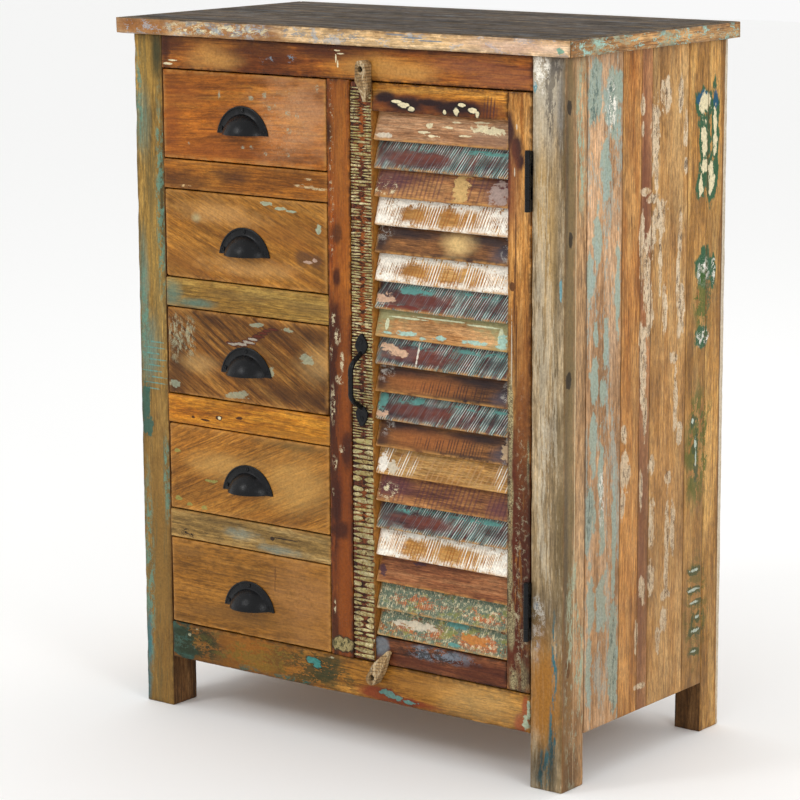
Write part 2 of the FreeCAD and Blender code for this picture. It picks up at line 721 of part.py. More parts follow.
def make_stile(side):
    """A door stile with a mortise at each end and a slanted housing for every slat.

    The inner face of the stile lies on the body's YZ plane.
    """
    inner_x = "field_x0" if side == "left" else "field_x1"
    body = body_named("stile_%s_body" % side, inner_x, "front_y", "panel_z0")
    section = sketch_on(body, "XY_Plane", "stile_%s_section" % side)
    rectangle(section, "-door_stile_width" if side == "left" else "0", "0",
              "door_stile_width", "door_thickness")
    pad(body, section, "panel_z1 - panel_z0")

    into_right = side == "right"
    for name in ("bottom", "top"):
        _, y, z, _, dy, dz = door_tenon(name, side)
        hole = sketch_on(body, "YZ_Plane", "stile_%s_mortise_%s" % (side, name))
        rectangle(hole, "%s - front_y - joint_clearance" % y, "%s - (panel_z0) - joint_clearance" % z,
                  "%s + 2 * joint_clearance" % dy, "%s + 2 * joint_clearance" % dz)
        pocket(body, hole, "tenon_length + run_out", into_right)

    housing = sketch_on(body, "YZ_Plane", "stile_%s_housing" % side)
    lean = "(slat_width + joint_clearance)"
    thick = "(slat_thickness + 2 * joint_clearance)"
    foot_y = "slat_setback - joint_clearance * cos(slat_tilt) - joint_clearance * sin(slat_tilt)"
    foot_z = ("field_z0 - panel_z0 + slat_seat + joint_clearance * sin(slat_tilt)"
              " - joint_clearance * cos(slat_tilt)")
    top_y = "%s + %s * sin(slat_tilt)" % (foot_y, lean)
    top_z = "%s + %s * cos(slat_tilt)" % (foot_z, lean)
    outline(housing, [
        (foot_y, foot_z),
        ("%s + %s * cos(slat_tilt)" % (foot_y, thick), "%s - %s * sin(slat_tilt)" % (foot_z, thick)),
        ("%s + %s * cos(slat_tilt)" % (top_y, thick), "%s - %s * sin(slat_tilt)" % (top_z, thick)),
        (top_y, top_z)])
    first = pocket(body, housing, "slat_housing + joint_clearance", into_right)
    doc.recompute()

    row = body.newObject("PartDesign::LinearPattern", "stile_%s_housings" % side)
    row.Originals = [first]
    row.Direction = (sketch_axis(body, "Z_Axis"), [""])
    row.Occurrences = int(SIZES["slat_count"])
    bind(row, Length="slat_pitch * (slat_count - 1)")
    body.Tip = row
    return body


def sketch_axis(body, role):
    """An axis or plane of the body's origin."""
    return [feature for feature in body.Origin.OriginFeatures if feature.Role == role][0]


def make_door():
    """Louvred door: two stiles, two rails and nineteen slats housed in the stiles."""
    left = make_stile("left")
    pilots = [screw_hole("stile_handle_pilot", *spot, "+y") for spot in handle_screw_spots()]
    node(cut("door_stile_left", left, pilots), "door_stile_left")

    right = make_stile("right")
    beds = []
    for z in hinge_levels():
        beds.append(block("door_hinge_bed", "panel_x1 - hinge_leaf_thickness", "front_y - run_out", z,
                          "hinge_leaf_thickness + run_out", "hinge_leaf_depth + run_out", "hinge_height"))
        beds += [screw_hole("door_hinge_pilot", *spot, "-x") for spot in hinge_screw_spots(z, "door")]
    node(cut("door_stile_right", right, beds), "door_stile_right")

    for name in ("bottom", "top"):
        z, height = DOOR_TENON_HEIGHTS[name]
        stock = block("door_rail_%s_stock" % name, "field_x0", "front_y", z,
                      "field_x1 - field_x0", "door_thickness", height)
        ends = [tenon("door_rail_%s_%s" % (name, side), door_tenon(name, side))
                for side in ("left", "right")]
        rail = joined("door_rail_%s_tenoned" % name, [stock] + ends)
        if name == "top":
            lap = block("door_rail_top_rebate", "field_x0 - run_out",
                        "front_y + slat_setback + slat_pitch * sin(slat_tilt) - run_out",
                        "field_z1 - run_out", "field_x1 - field_x0 + 2 * run_out", "door_thickness",
                        "slat_lap * cos(slat_tilt) + 2 * run_out")
            rail = cut("door_rail_top_rebated", rail, [lap])
        node(rail, "door_rail_%s" % name)

    slats = []
    for step in range(int(SIZES["slat_count"])):
        slat = block("slat_%d" % (step + 1), "field_x0 - slat_housing", "front_y + slat_setback",
                     "field_z0 + slat_seat + %d * slat_pitch" % step,
                     "field_x1 - field_x0 + 2 * slat_housing", "slat_thickness", "slat_width")
        slat.Placement.Rotation = FreeCAD.Rotation(FreeCAD.Vector(-1, 0, 0), number("slat_tilt"))
        bind(slat, **{"Placement.Rotation.Angle": "slat_tilt"})
        slats.append(slat)
    node(together("door_slats", slats), "door_slats")


def hinge_levels():
    """The bottom of the lower and of the upper hinge."""
    return ("panel_z0 + hinge_inset", "panel_z1 - hinge_inset - hinge_height")


def hinge_screw_spots(z, leaf):
    """Where the screws of a hinge leaf start, on the bare face of the leaf."""
    x = "door_right" if leaf == "frame" else "panel_x1"
    count = int(SIZES["hinge_screw_count"])
    return [(x, "front_y + hinge_leaf_depth / 2 + hinge_screw_shift",
             "%s + hinge_height * %d / (2 * hinge_screw_count)" % (z, 2 * step + 1))
            for step in range(count)]


def make_hinges():
    """Two butt hinges: the leg's leaf has every other knuckle, the door's leaf the rest."""
    knuckles = int(SIZES["hinge_knuckle_count"])
    frame_leaves, door_leaves, pins, frame_screws, door_screws = [], [], [], [], []
    for tag, z in zip(("lower", "upper"), hinge_levels()):
        for leaf, plate_x, keep in (("frame", "door_right", range(0, knuckles, 2)),
                                    ("door", "panel_x1 - hinge_leaf_thickness", range(1, knuckles, 2))):
            name = "hinge_%s_%s" % (tag, leaf)
            pieces = [block(name + "_plate", plate_x, "front_y", z, "hinge_leaf_thickness",
                            "hinge_leaf_depth", "hinge_height")]
            for slot in keep:
                level = "%s + %d * (knuckle_length + running_gap)" % (z, slot)
                pieces.append(rod("%s_knuckle_%d" % (name, slot), "pin_x", "pin_y", level,
                                  "hinge_knuckle_radius", "knuckle_length"))
                pieces.append(block("%s_neck_%d" % (name, slot), plate_x, "pin_y", level,
                                    "hinge_leaf_thickness", "hinge_pin_proud", "knuckle_length"))
            towards = "+x" if leaf == "frame" else "-x"
            spots = hinge_screw_spots(z, leaf)
            holes = [rod(name + "_bore", "pin_x", "pin_y", "%s - run_out" % z, "knuckle_bore",
                         "hinge_height + 2 * run_out")]
            holes += [screw_hole("%s_hole" % name, *spot, towards) for spot in spots]
            screws = [screw_solid("%s_screw" % name, *spot, towards) for spot in spots]
            made = cut(name, joined(name + "_blank", pieces), holes)
            (frame_leaves if leaf == "frame" else door_leaves).append(made)
            (frame_screws if leaf == "frame" else door_screws).extend(screws)
        shaft = rod("pin_%s_shaft" % tag, "pin_x", "pin_y", z, "hinge_pin_radius", "hinge_height")
        head = rod("pin_%s_head" % tag, "pin_x", "pin_y", "%s + hinge_height" % z,
                   "hinge_knuckle_radius - running_gap", "hinge_leaf_thickness")
        pins.append(joined("hinge_pin_%s" % tag, [shaft, head]))
    node(together("hinge_frame_leaves", frame_leaves), "hinge_frame_leaves")
    node(together("hinge_door_leaves", door_leaves), "hinge_door_leaves")
    node(together("hinge_pins", pins), "hinge_pins")
    node(together("hinge_frame_screws", frame_screws), "hinge_frame_screws")
    node(together("hinge_door_screws", door_screws), "hinge_door_screws")


def handle_foot_middle():
    """How far above and below the handle's middle its screws are."""
    return "(handle_length - handle_foot_length) / 2 + handle_screw_shift"


def handle_screw_spots():
    """One screw in each foot of the bow handle."""
    x = "(panel_x0 + field_x0) / 2"
    return [(x, "front_y - handle_foot_thickness", "handle_height + (%s)" % handle_foot_middle()),
            (x, "front_y - handle_foot_thickness", "handle_height - (%s)" % handle_foot_middle())]


def make_handle():
    """Forged bow handle: a round bar bent between two pointed feet."""
    body = body_named("handle_body", "(panel_x0 + field_x0) / 2", "front_y", "handle_height")
    end_y = "(handle_foot_thickness - run_out)"
    bend_y = "(handle_line - handle_bend + handle_bend * cos(handle_turn))"
    bend_z = "(handle_inner - (%s - %s) * cos(handle_turn) / sin(handle_turn))" % (bend_y, end_y)
    spine = sketch_on(body, "YZ_Plane", "handle_spine")
    outline(spine, [("-handle_line", "0"), ("-handle_line", bend_z + " - handle_bend * sin(handle_turn)"),
                    ("-" + bend_y, bend_z), ("-" + end_y, "handle_inner")],
            {1: ("handle_bend", -1)}, closed=False)
    section = sketch_on(body, "XY_Plane", "handle_bar")
    sides = int(SIZES["handle_bar_sides"])
    turns = [360.0 * (step + 0.5) / sides for step in range(sides)]
    outline(section, [("handle_bar_radius * cos(%g)" % turn,
                       "handle_bar_radius * sin(%g) - handle_line" % turn) for turn in turns])
    bow = body.newObject("PartDesign::AdditivePipe", "handle_bow")
    bow.Profile = section
    bow.Spine = (spine, ["Edge1", "Edge2", "Edge3"])

    foot = sketch_on(body, "XZ_Plane", "handle_foot")
    half = "handle_foot_width / 2"
    belly = "handle_inner + handle_foot_belly"
    outline(foot, [("0", "handle_length / 2"), (half, belly),
                   ("handle_foot_waist / 2", "handle_inner - run_out"),
                   ("-handle_foot_waist / 2", "handle_inner - run_out"), ("-" + half, belly)],
            {0: ("handle_foot_bow", -1), 4: ("handle_foot_bow", -1)})
    foot_pad = pad(body, foot, "handle_foot_thickness")
    doc.recompute()
    pair = body.newObject("PartDesign::Mirrored", "handle_halves")
    pair.Originals = [bow, foot_pad]
    pair.MirrorPlane = (sketch_axis(body, "XY_Plane"), [""])
    body.Tip = pair

    holes = [screw_hole("handle_hole", *spot, "+y") for spot in handle_screw_spots()]
    node(cut("door_handle", body, holes), "door_handle")
    screws = [screw_solid("handle_screw", *spot, "+y") for spot in handle_screw_spots()]
    node(together("door_handle_screws", screws), "door_handle_screws")


LATCHES = {
    "top": ("latch_top_x", "latch_top_z", "180"),
    "bottom": ("latch_bottom_x", "latch_bottom_z", "latch_bottom_turn"),
}


def make_latch(name):
    """A whittled wooden turn button that swings about its screw over the edge of the door."""
    x, z, turn = LATCHES[name]
    body = body_named("latch_%s_body" % name, x, "latch_face", z)
    body.Placement.Rotation = FreeCAD.Rotation(FreeCAD.Vector(0, 1, 0), number(turn))
    bind(body, **{"Placement.Rotation.Angle": turn})

    half = "latch_width / 2"
    side = sketch_on(body, "XZ_Plane", "latch_%s_outline" % name)
    outline(side, [
        ("-" + half, "%s - latch_end" % half), ("0", "-latch_end"), (half, "%s - latch_end" % half),
        (half, "latch_shoulder"), ("latch_tip_width / 2", "latch_reach"),
        ("-latch_tip_width / 2", "latch_reach"), ("-" + half, "latch_shoulder + latch_tip_width")],
        {0: (half, 1), 1: (half, 1)})
    pad(body, side, "latch_thickness")

    slope = sketch_on(body, "YZ_Plane", "latch_%s_slope" % name)
    outline(slope, [("-latch_thickness - run_out", "latch_shoulder"), ("-latch_thickness", "latch_shoulder"),
                    ("-latch_tip_thickness", "latch_reach + run_out"),
                    ("-latch_thickness - run_out", "latch_reach + run_out")])
    pocket(body, slope, "2 * latch_width", both_ways=True)

    bore = sketch_on(body, "XZ_Plane", "latch_%s_bore" % name)
    circle(bore, "0", "0", "latch_bore_radius")
    pocket(body, bore, "latch_thickness", reversed_way=True)
    doc.recompute()

    recess = rod("latch_%s_recess" % name, x, "latch_face - latch_thickness - run_out", z,
                 "latch_recess_radius", "latch_recess_depth + run_out", "+y")
    node(cut("latch_%s" % name, body, [recess]), "latch_%s" % name)


def latch_head_y():
    """Where the head of a latch screw meets its shank."""
    return "latch_face - latch_thickness + latch_recess_depth - running_gap"


def latch_pilot(name):
    """The pilot hole of a latch screw in its rail."""
    x, z, _ = LATCHES[name]
    return prism("latch_%s_pilot" % name, x, "front_y - run_out", z, "screw_shank_radius + screw_clearance",
                 "screw_length + 2 * run_out", "screw_side_count", "+y")


def make_latch_screws():
    """A round-headed screw holds each latch to its rail with its head in the recess."""
    screws = []
    for name, (x, z, _) in LATCHES.items():
        head = rod("latch_%s_screw_head" % name, x, "%s - latch_screw_head" % latch_head_y(), z,
                   "latch_recess_radius - 2 * running_gap", "latch_screw_head", "+y")
        shank = prism("latch_%s_screw_shank" % name, x, latch_head_y(), z, "screw_shank_radius",
                      "front_y + screw_length - (%s)" % latch_head_y(), "screw_side_count", "+y")
        screws.append(joined("latch_%s_screw" % name, [head, shank]))
    node(together("latch_screws", screws), "latch_screws")


def pull_screw_spots(base_z):
    """Screws at the top and near both lower ends of a pull's flange."""
    x, y = "drawer_middle", "front_y - pull_metal"
    ring = "(pull_radius - pull_screw_inset)"
    low = "(pull_chord + pull_screw_rise)"
    side = "sqrt(%s ^ 2 - %s ^ 2)" % (ring, low)
    centre_z = "%s - pull_chord" % base_z
    return [(x, y, "%s + %s" % (centre_z, ring)),
            ("%s - %s" % (x, side), y, "%s + %s" % (centre_z, low)),
            ("%s + %s" % (x, side), y, "%s + %s" % (centre_z, low))]


# How far down its curve each ring of a pull's dome lies: 1 is the rim and 0 the crown
DOME_STEPS = ("1", "0.7", "0.4", "0.12")
HOLLOW_STEPS = ("1.03", "0.6", "0.2")


def make_pull(index, base_z):
    """A cast cup pull: a hollow dome on a flat rim, open below for the fingers."""
    name = "pull_%d" % index
    centre_z = "%s - pull_chord" % base_z
    dome_y = "front_y - pull_reach + dome_bend"
    rim = turned(name + "_rim", "drawer_middle", centre_z,
                 [("pull_radius", "front_y"), ("pull_radius - pull_bevel", "front_y - pull_metal")])
    dome = turned(name + "_dome", "drawer_middle", centre_z,
                  [("dome_bend * sin(%s * dome_lean)" % part,
                    "%s - dome_bend * cos(%s * dome_lean)" % (dome_y, part)) for part in DOME_STEPS])
    tools = [turned(name + "_hollow", "drawer_middle", centre_z,
                    [("hollow_bend * sin(%s * hollow_lean)" % part,
                      "%s - hollow_bend * cos(%s * hollow_lean)" % (dome_y, part))
                     for part in HOLLOW_STEPS])]
    tools.append(block(name + "_behind", "drawer_middle - pull_width", "front_y",
                       "%s - pull_width" % centre_z, "2 * pull_width", "2 * dome_bend",
                       "2 * pull_width"))
    tools.append(block(name + "_below", "drawer_middle - pull_width", "front_y - 2 * pull_reach",
                       "%s - pull_width" % base_z, "2 * pull_width", "2 * pull_reach", "pull_width"))
    spots = pull_screw_spots(base_z)
    tools += [screw_hole(name + "_hole", *spot, "+y") for spot in spots]
    node(cut("drawer_%d_pull" % index, joined(name + "_blank", [rim, dome]), tools),
         "drawer_%d_pull" % index)
    screws = [screw_solid(name + "_screw", *spot, "+y") for spot in spots]
    node(together("drawer_%d_pull_screws" % index, screws), "drawer_%d_pull_screws" % index)


def make_drawer(index):
    """An inset drawer: front with eased edges, two sides and a back, bottom in grooves."""
    level = "opening_bottom + (drawer_count - %d) * drawer_pitch" % index
    front_z = "%s + fit_gap" % level
    box_z = "%s + running_gap" % level
    pull_z = "%s + drawer_opening / 2 - pull_height / 2 - pull_drop" % level
    groove_z = "%s + drawer_bottom_lift" % box_z
    tag = "drawer_%d" % index

    stock = block(tag + "_front_stock", "drawer_left + fit_gap", "front_y", front_z,
                  "drawer_opening_width - 2 * fit_gap", "drawer_front_thickness",
                  "drawer_opening - 2 * fit_gap")
    face_y = number("front_y")
    softened = eased(tag + "_front_eased", stock,
                     lambda edge: abs(edge.BoundBox.YMin - face_y) + abs(edge.BoundBox.YMax - face_y) < 1e-4,
                     "drawer_front_arris")
    groove_width = "drawer_bottom_thickness + joint_clearance"
    tools = [block(tag + "_front_groove", "box_left + drawer_side_thickness - drawer_groove_depth",
                   "box_front - drawer_groove_depth", groove_z,
                   "box_right - box_left - 2 * drawer_side_thickness + 2 * drawer_groove_depth",
                   "drawer_groove_depth + run_out", groove_width)]
    tools += [screw_hole(tag + "_pilot", *spot, "+y") for spot in pull_screw_spots(pull_z)]
    node(cut(tag + "_front", softened, tools), tag + "_front")

    pieces = []
    for side, x in (("left", "box_left"), ("right", "box_right - drawer_side_thickness")):
        board = block("%s_side_%s_stock" % (tag, side), x, "box_front", box_z,
                      "drawer_side_thickness", "drawer_box_depth", "drawer_side_height")
        groove_x = ("box_left + drawer_side_thickness - drawer_groove_depth" if side == "left"
                    else "box_right - drawer_side_thickness - run_out")
        groove = block("%s_side_%s_groove" % (tag, side), groove_x, "box_front - run_out", groove_z,
                       "drawer_groove_depth + run_out", "drawer_box_depth + 2 * run_out", groove_width)
        pieces.append(cut("%s_side_%s" % (tag, side), board, [groove]))
    pieces.append(block(tag + "_back", "box_left + drawer_side_thickness",
                        "box_front + drawer_box_depth - drawer_side_thickness",
                        "%s + %s" % (groove_z, groove_width),
                        "box_right - box_left - 2 * drawer_side_thickness", "drawer_side_thickness",
                        "drawer_side_height - drawer_bottom_lift - (%s)" % groove_width))
    node(together(tag + "_box", pieces), tag + "_box")

    node(block(tag + "_bottom",
               "box_left + drawer_side_thickness - drawer_groove_depth + joint_clearance",
               "box_front - drawer_groove_depth + joint_clearance", groove_z,
               "box_right - box_left - 2 * (drawer_side_thickness - drawer_groove_depth + joint_clearance)",
               "drawer_box_depth + drawer_groove_depth - joint_clearance",
               "drawer_bottom_thickness"), tag + "_bottom")
    make_pull(index, pull_z)


def check_model():
    """Stop if anything in the document failed or a sub-part has no sound shape."""
    doc.recompute()
    failed = [item.Label for item in doc.Objects if "Invalid" in item.State or "Error" in item.State]
    if failed:
        raise RuntimeError("not recomputed: " + ", ".join(failed))
    for item in NODES:
        if item.Shape.isNull() or not item.Shape.isValid() or not item.Shape.Solids:
            raise RuntimeError("unsound shape: " + item.Label)


make_top()
make_legs()
make_front_frame()
make_sides()
make_back()
make_inside()
for drawer in range(1, int(SIZES["drawer_count"]) + 1):
    make_drawer(drawer)
make_door()
make_hinges()
make_handle()
for latch in LATCHES:
    make_latch(latch)
make_latch_screws()
check_model()

os.makedirs("parts", exist_ok=True)
for item in NODES:
    item.Shape.exportStep(os.path.join("parts", item.Label + ".step"))
print("wrote", len(NODES), "sub-parts")
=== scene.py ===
import math
import random
from functools import partial

import bmesh
import bpy
from bpy.props import FloatProperty, FloatVectorProperty, IntProperty, PointerProperty
from mathutils import Matrix, Vector, noise


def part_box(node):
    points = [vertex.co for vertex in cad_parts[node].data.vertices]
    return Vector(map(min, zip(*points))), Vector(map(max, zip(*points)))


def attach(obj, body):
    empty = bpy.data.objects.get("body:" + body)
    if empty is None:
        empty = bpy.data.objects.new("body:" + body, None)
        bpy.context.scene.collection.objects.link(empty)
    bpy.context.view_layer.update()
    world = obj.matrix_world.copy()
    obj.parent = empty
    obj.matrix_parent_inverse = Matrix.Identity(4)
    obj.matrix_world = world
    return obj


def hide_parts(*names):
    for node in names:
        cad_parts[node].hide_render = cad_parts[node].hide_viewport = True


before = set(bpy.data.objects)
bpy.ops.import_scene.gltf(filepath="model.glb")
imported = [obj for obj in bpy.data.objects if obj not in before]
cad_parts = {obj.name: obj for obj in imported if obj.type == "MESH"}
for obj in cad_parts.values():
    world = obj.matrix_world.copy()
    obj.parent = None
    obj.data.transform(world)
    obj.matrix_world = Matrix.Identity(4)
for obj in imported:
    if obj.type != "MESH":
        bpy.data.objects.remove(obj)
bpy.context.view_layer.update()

bl_info = {
    "name": "Reclaimed Highboard",
    "version": (1, 0, 0),
    "blender": (4, 5, 0),
    "location": "3D View > Sidebar > Highboard",
    "description": "Dresses a packed highboard in old painted timber and black iron",
    "category": "Object",
}

DRAWERS = range(1, 6)
WIDTH, DEPTH, HEIGHT = range(3)
WELD = 1e-6
# How far a face may lean from a direction and still look that way, as a cosine
FACES_THAT_WAY = 0.7
# The first seed of each row of boards, and of the turns of the screws
SEEDS = {"top_plank": 21, "top_edging": 31, "leg": 40, "rail": 50, "drawer_rail": 60, "post": 70,
         "side_plank": 80, "drawer_front": 90, "door": 100, "slat": 120,
         "handle_screws": 7, "hinge_screws": 3}


def tint(code):
    """A linear colour from a hexadecimal screen colour."""
    channels = [int(code[i:i + 2], 16) / 255.0 for i in (0, 2, 4)]
    return [c / 12.92 if c <= 0.04045 else ((c + 0.055) / 1.055) ** 2.4 for c in channels]


class HighboardSizes(bpy.types.PropertyGroup):
    """Sizes that shape the dressed pieces."""

    edge_ease: FloatProperty(name="Eased edge", description="Usual rounding of a board's edge",
                             default=0.0016, unit="LENGTH")
    edge_wear: FloatProperty(name="Worn edge", description="Most that wear adds to the rounding",
                             default=0.0022, unit="LENGTH")
    surface_wave: FloatProperty(name="Surface wave", description="Depth of the waves in old timber",
                                default=0.0003, unit="LENGTH")
    grid_step: FloatProperty(name="Mesh step", description="Distance between mesh lines on a board",
                             default=0.007, unit="LENGTH")
    slat_tilt: FloatProperty(name="Slat tilt", description="Lean of the door's slats",
                             default=math.radians(18.0), unit="ROTATION")
    slat_thickness: FloatProperty(name="Slat thickness", description="Thickness of a slat",
                                  default=0.007, unit="LENGTH")
    crust_pitch: FloatProperty(name="Crust pitch", description="Usual height of a slab of paint crust",
                               default=0.0032, unit="LENGTH")
    crust_lift: FloatProperty(name="Crust lift", description="Thickness of the paint crust",
                              default=0.0012, unit="LENGTH")
    crust_coarse: FloatProperty(name="Coarse crust", description="Height up to which the slabs are larger",
                                default=0.30, unit="LENGTH")
    pull_metal: FloatProperty(name="Pull metal", description="Thickness of the cup pull's metal",
                              default=0.0022, unit="LENGTH")
    pull_flange: FloatProperty(name="Pull flange", description="Width of the cup pull's rim",
                               default=0.011, unit="LENGTH")
    screw_head: FloatProperty(name="Screw head", description="Radius of a small screw's head",
                              default=0.0031, unit="LENGTH")
    lens: FloatProperty(name="Lens", description="Focal length on a 36 mm sensor, in millimetres",
                        default=137.31)
    view_azimuth: FloatProperty(name="View azimuth", description="Turn of the camera round the piece",
                                default=math.radians(37.41), unit="ROTATION")
    view_elevation: FloatProperty(name="View elevation", description="Height angle of the camera",
                                  default=math.radians(11.14), unit="ROTATION")
    view_roll: FloatProperty(name="View roll", description="Roll of the camera",
                             default=math.radians(-0.281), unit="ROTATION")
    view_place: FloatVectorProperty(name="View place", description="Where the camera stands",
                                    default=(2.4787, -3.2891, 1.2600), subtype="TRANSLATION")
    seed: IntProperty(name="Seed", description="Start of the random wear", default=11)


def colour_property(name, description, code):
    """A colour that a user can change, with its default given as a screen colour."""
    return FloatVectorProperty(name=name, description=description, size=3, min=0.0, max=1.0,
                               subtype="COLOR", default=tint(code))


class HighboardColours(bpy.types.PropertyGroup):
    """Colours of timber, old paint and iron."""

    cream: colour_property("Cream paint", "Old cream paint", "dccfa8")
    white: colour_property("White paint", "Chalky white paint", "ece6d8")
    dust: colour_property("Dusty paint", "Greyish cream paint", "cbbfa8")
    sand: colour_property("Sand paint", "Pale tan paint", "cbaa78")
    pink: colour_property("Pink paint", "Faded pink paint", "c8a296")
    side_cream: colour_property("Side cream", "Pinkish cream of the side planks", "d6c0a0")
    side_sage: colour_property("Side sage", "Grey-green of the side planks", "93a698")
    sage: colour_property("Sage paint", "Grey-green paint", "9aa58c")
    sky: colour_property("Sky paint", "Pale grey-blue paint", "a3adb4")
    aqua: colour_property("Aqua paint", "Pale blue-green paint", "9dc0b2")
    teal: colour_property("Teal paint", "Old teal paint", "5a9088")
    deep_teal: colour_property("Deep teal paint", "Dark teal paint", "24584f")
    deep_green: colour_property("Deep green paint", "Dark green paint", "31583a")
    navy: colour_property("Navy paint", "Dark blue paint", "22506c")
    olive: colour_property("Olive paint", "Yellow-green paint", "9a9650")
    slate: colour_property("Slate paint", "Blue-grey paint", "74808a")
    iron: colour_property("Iron", "Black satin iron", "0c0d0f")
    rubbed_iron: colour_property("Rubbed iron", "Iron where it is rubbed", "2c2c31")
    floor: colour_property("Floor", "Plain pale floor", "fbfbfa")


def sizes():
    """The sizes as the user has set them."""
    return bpy.context.scene.highboard_sizes


# Node helpers

def ink(name):
    """A colour of the palette by its name, or any colour by its code."""
    palette = bpy.context.scene.highboard_colours
    return list(getattr(palette, name)) if hasattr(palette, name) else tint(name)


def add(tree, kind, inputs=None, **settings):
    """A shader node with its settings and inputs; sockets are linked and values are set."""
    node = tree.nodes.new("ShaderNode" + kind)
    for key, value in settings.items():
        setattr(node, key, value)
    for key, value in (inputs or {}).items():
        socket = node.inputs[key]
        if isinstance(value, bpy.types.NodeSocket):
            tree.links.new(value, socket)
        elif value is not None:
            socket.default_value = value
    return node


def calc(tree, operation, first, second=0.0, third=0.0, clamp=False):
    """The result of a Math node."""
    node = add(tree, "Math", {0: first, 1: second, 2: third}, operation=operation, use_clamp=clamp)
    return node.outputs[0]


def vector_calc(tree, operation, first, second):
    """The result of a Vector Math node."""
    return add(tree, "VectorMath", {0: first, 1: second}, operation=operation).outputs["Vector"]


def remap(tree, value, low, high, to_low=0.0, to_high=1.0, smooth=True):
    """A value moved from one range to another."""
    node = add(tree, "MapRange", {"Value": value, "From Min": low, "From Max": high,
                                  "To Min": to_low, "To Max": to_high},
               interpolation_type="SMOOTHSTEP" if smooth else "LINEAR")
    return node.outputs["Result"]


def grey(tree, value):
    """A value as a shade of grey."""
    return add(tree, "CombineXYZ", {"X": value, "Y": value, "Z": value}).outputs[0]


def blend_colours(tree, factor, first, second, way="MIX"):
    """Two colours blended in one of Blender's ways."""
    node = add(tree, "Mix", data_type="RGBA", blend_type=way, clamp_factor=True)
    for index, value in ((0, factor), (6, first), (7, second)):
        if isinstance(value, bpy.types.NodeSocket):
            tree.links.new(value, node.inputs[index])
        elif index:
            node.inputs[index].default_value = (*value, 1.0)
        else:
            node.inputs[index].default_value = value
    return node.outputs[2]


def noise_value(tree, vector, scale, detail=4.0, rough=0.55, bend=0.0):
    """A noise pattern between 0 and 1."""
    node = add(tree, "TexNoise", {"Vector": vector, "Scale": scale, "Detail": detail,
                                  "Roughness": rough, "Distortion": bend})
    return node.outputs["Fac"]


def drawn_out(tree, place, along):
    """A place squeezed along the grain, so that a pattern over it is drawn out that way."""
    return vector_calc(tree, "MULTIPLY", place, (along, 1.0, 1.0))


def new_group(name, inputs, outputs):
    """An empty shader node group with named sockets."""
    tree = bpy.data.node_groups.new(name, "ShaderNodeTree")
    for label, value in inputs.items():
        kind = "NodeSocketVector" if isinstance(value, tuple) else "NodeSocketFloat"
        tree.interface.new_socket(label, in_out="INPUT", socket_type=kind).default_value = value
    for label in outputs:
        tree.interface.new_socket(label, in_out="OUTPUT", socket_type="NodeSocketFloat")
    return tree, tree.nodes.new("NodeGroupInput"), tree.nodes.new("NodeGroupOutput")


def timber_figure_group():
    """Broad figure, streaks, fine fibres and pores; the grain runs along X of Position."""
    tree, given, out = new_group("Timber figure", {"Position": (0, 0, 0), "Size": 26.0, "Bend": 1.2},
                                 ["Figure", "Fibre", "Pores", "Height"])
    place, size = given.outputs["Position"], given.outputs["Size"]

    def figure_part(along, finer, *noise_settings):
        scale = calc(tree, "MULTIPLY", size, finer) if finer > 1.0 else size
        return noise_value(tree, drawn_out(tree, place, along), scale, *noise_settings)

    broad = figure_part(0.12, 1.0, 3.0, 0.5, given.outputs["Bend"])
    streaks = figure_part(0.06, 10.0, 5.0, 0.75, 0.6)
    figure = calc(tree, "MULTIPLY_ADD", broad, 0.52, calc(tree, "MULTIPLY", streaks, 0.48))
    fibre = figure_part(0.04, 20.0, 3.0, 0.7)
    holes = figure_part(0.05, 17.0, 2.0, 0.5)
    pores = remap(tree, holes, 0.60, 0.68)
    height = calc(tree, "MULTIPLY_ADD", pores, -0.8, calc(tree, "MULTIPLY", fibre, 0.6))
    for label, value in (("Figure", figure), ("Fibre", fibre), ("Pores", pores), ("Height", height)):
        tree.links.new(value, out.inputs[label])
    return tree


def paint_remains_group():
    """Ragged islands of paint, and the thin line round them."""
    tree, given, out = new_group("Paint remains", {"Position": (0, 0, 0), "Size": 40.0, "Cover": 0.3,
                                                   "Stretch": 0.5, "Rag": 0.5}, ["Mask", "Border"])
    factors = add(tree, "CombineXYZ", {"X": given.outputs["Stretch"], "Y": 1.0, "Z": 1.0})
    drawn = vector_calc(tree, "MULTIPLY", given.outputs["Position"], factors.outputs[0])
    islands = noise_value(tree, drawn, given.outputs["Size"], 3.0, 0.55, 0.6)
    ragged = noise_value(tree, drawn, calc(tree, "MULTIPLY", given.outputs["Size"], 7.0), 4.0, 0.7)
    mixed = calc(tree, "MULTIPLY_ADD", calc(tree, "SUBTRACT", ragged, 0.5), given.outputs["Rag"],
                 islands)
    over = calc(tree, "SUBTRACT", mixed, calc(tree, "MULTIPLY_ADD", given.outputs["Cover"], -0.42, 0.70))
    mask = remap(tree, over, 0.0, 0.016)
    tree.links.new(mask, out.inputs["Mask"])
    tree.links.new(calc(tree, "SUBTRACT", remap(tree, over, -0.03, -0.012), mask, clamp=True),
                   out.inputs["Border"])
    return tree


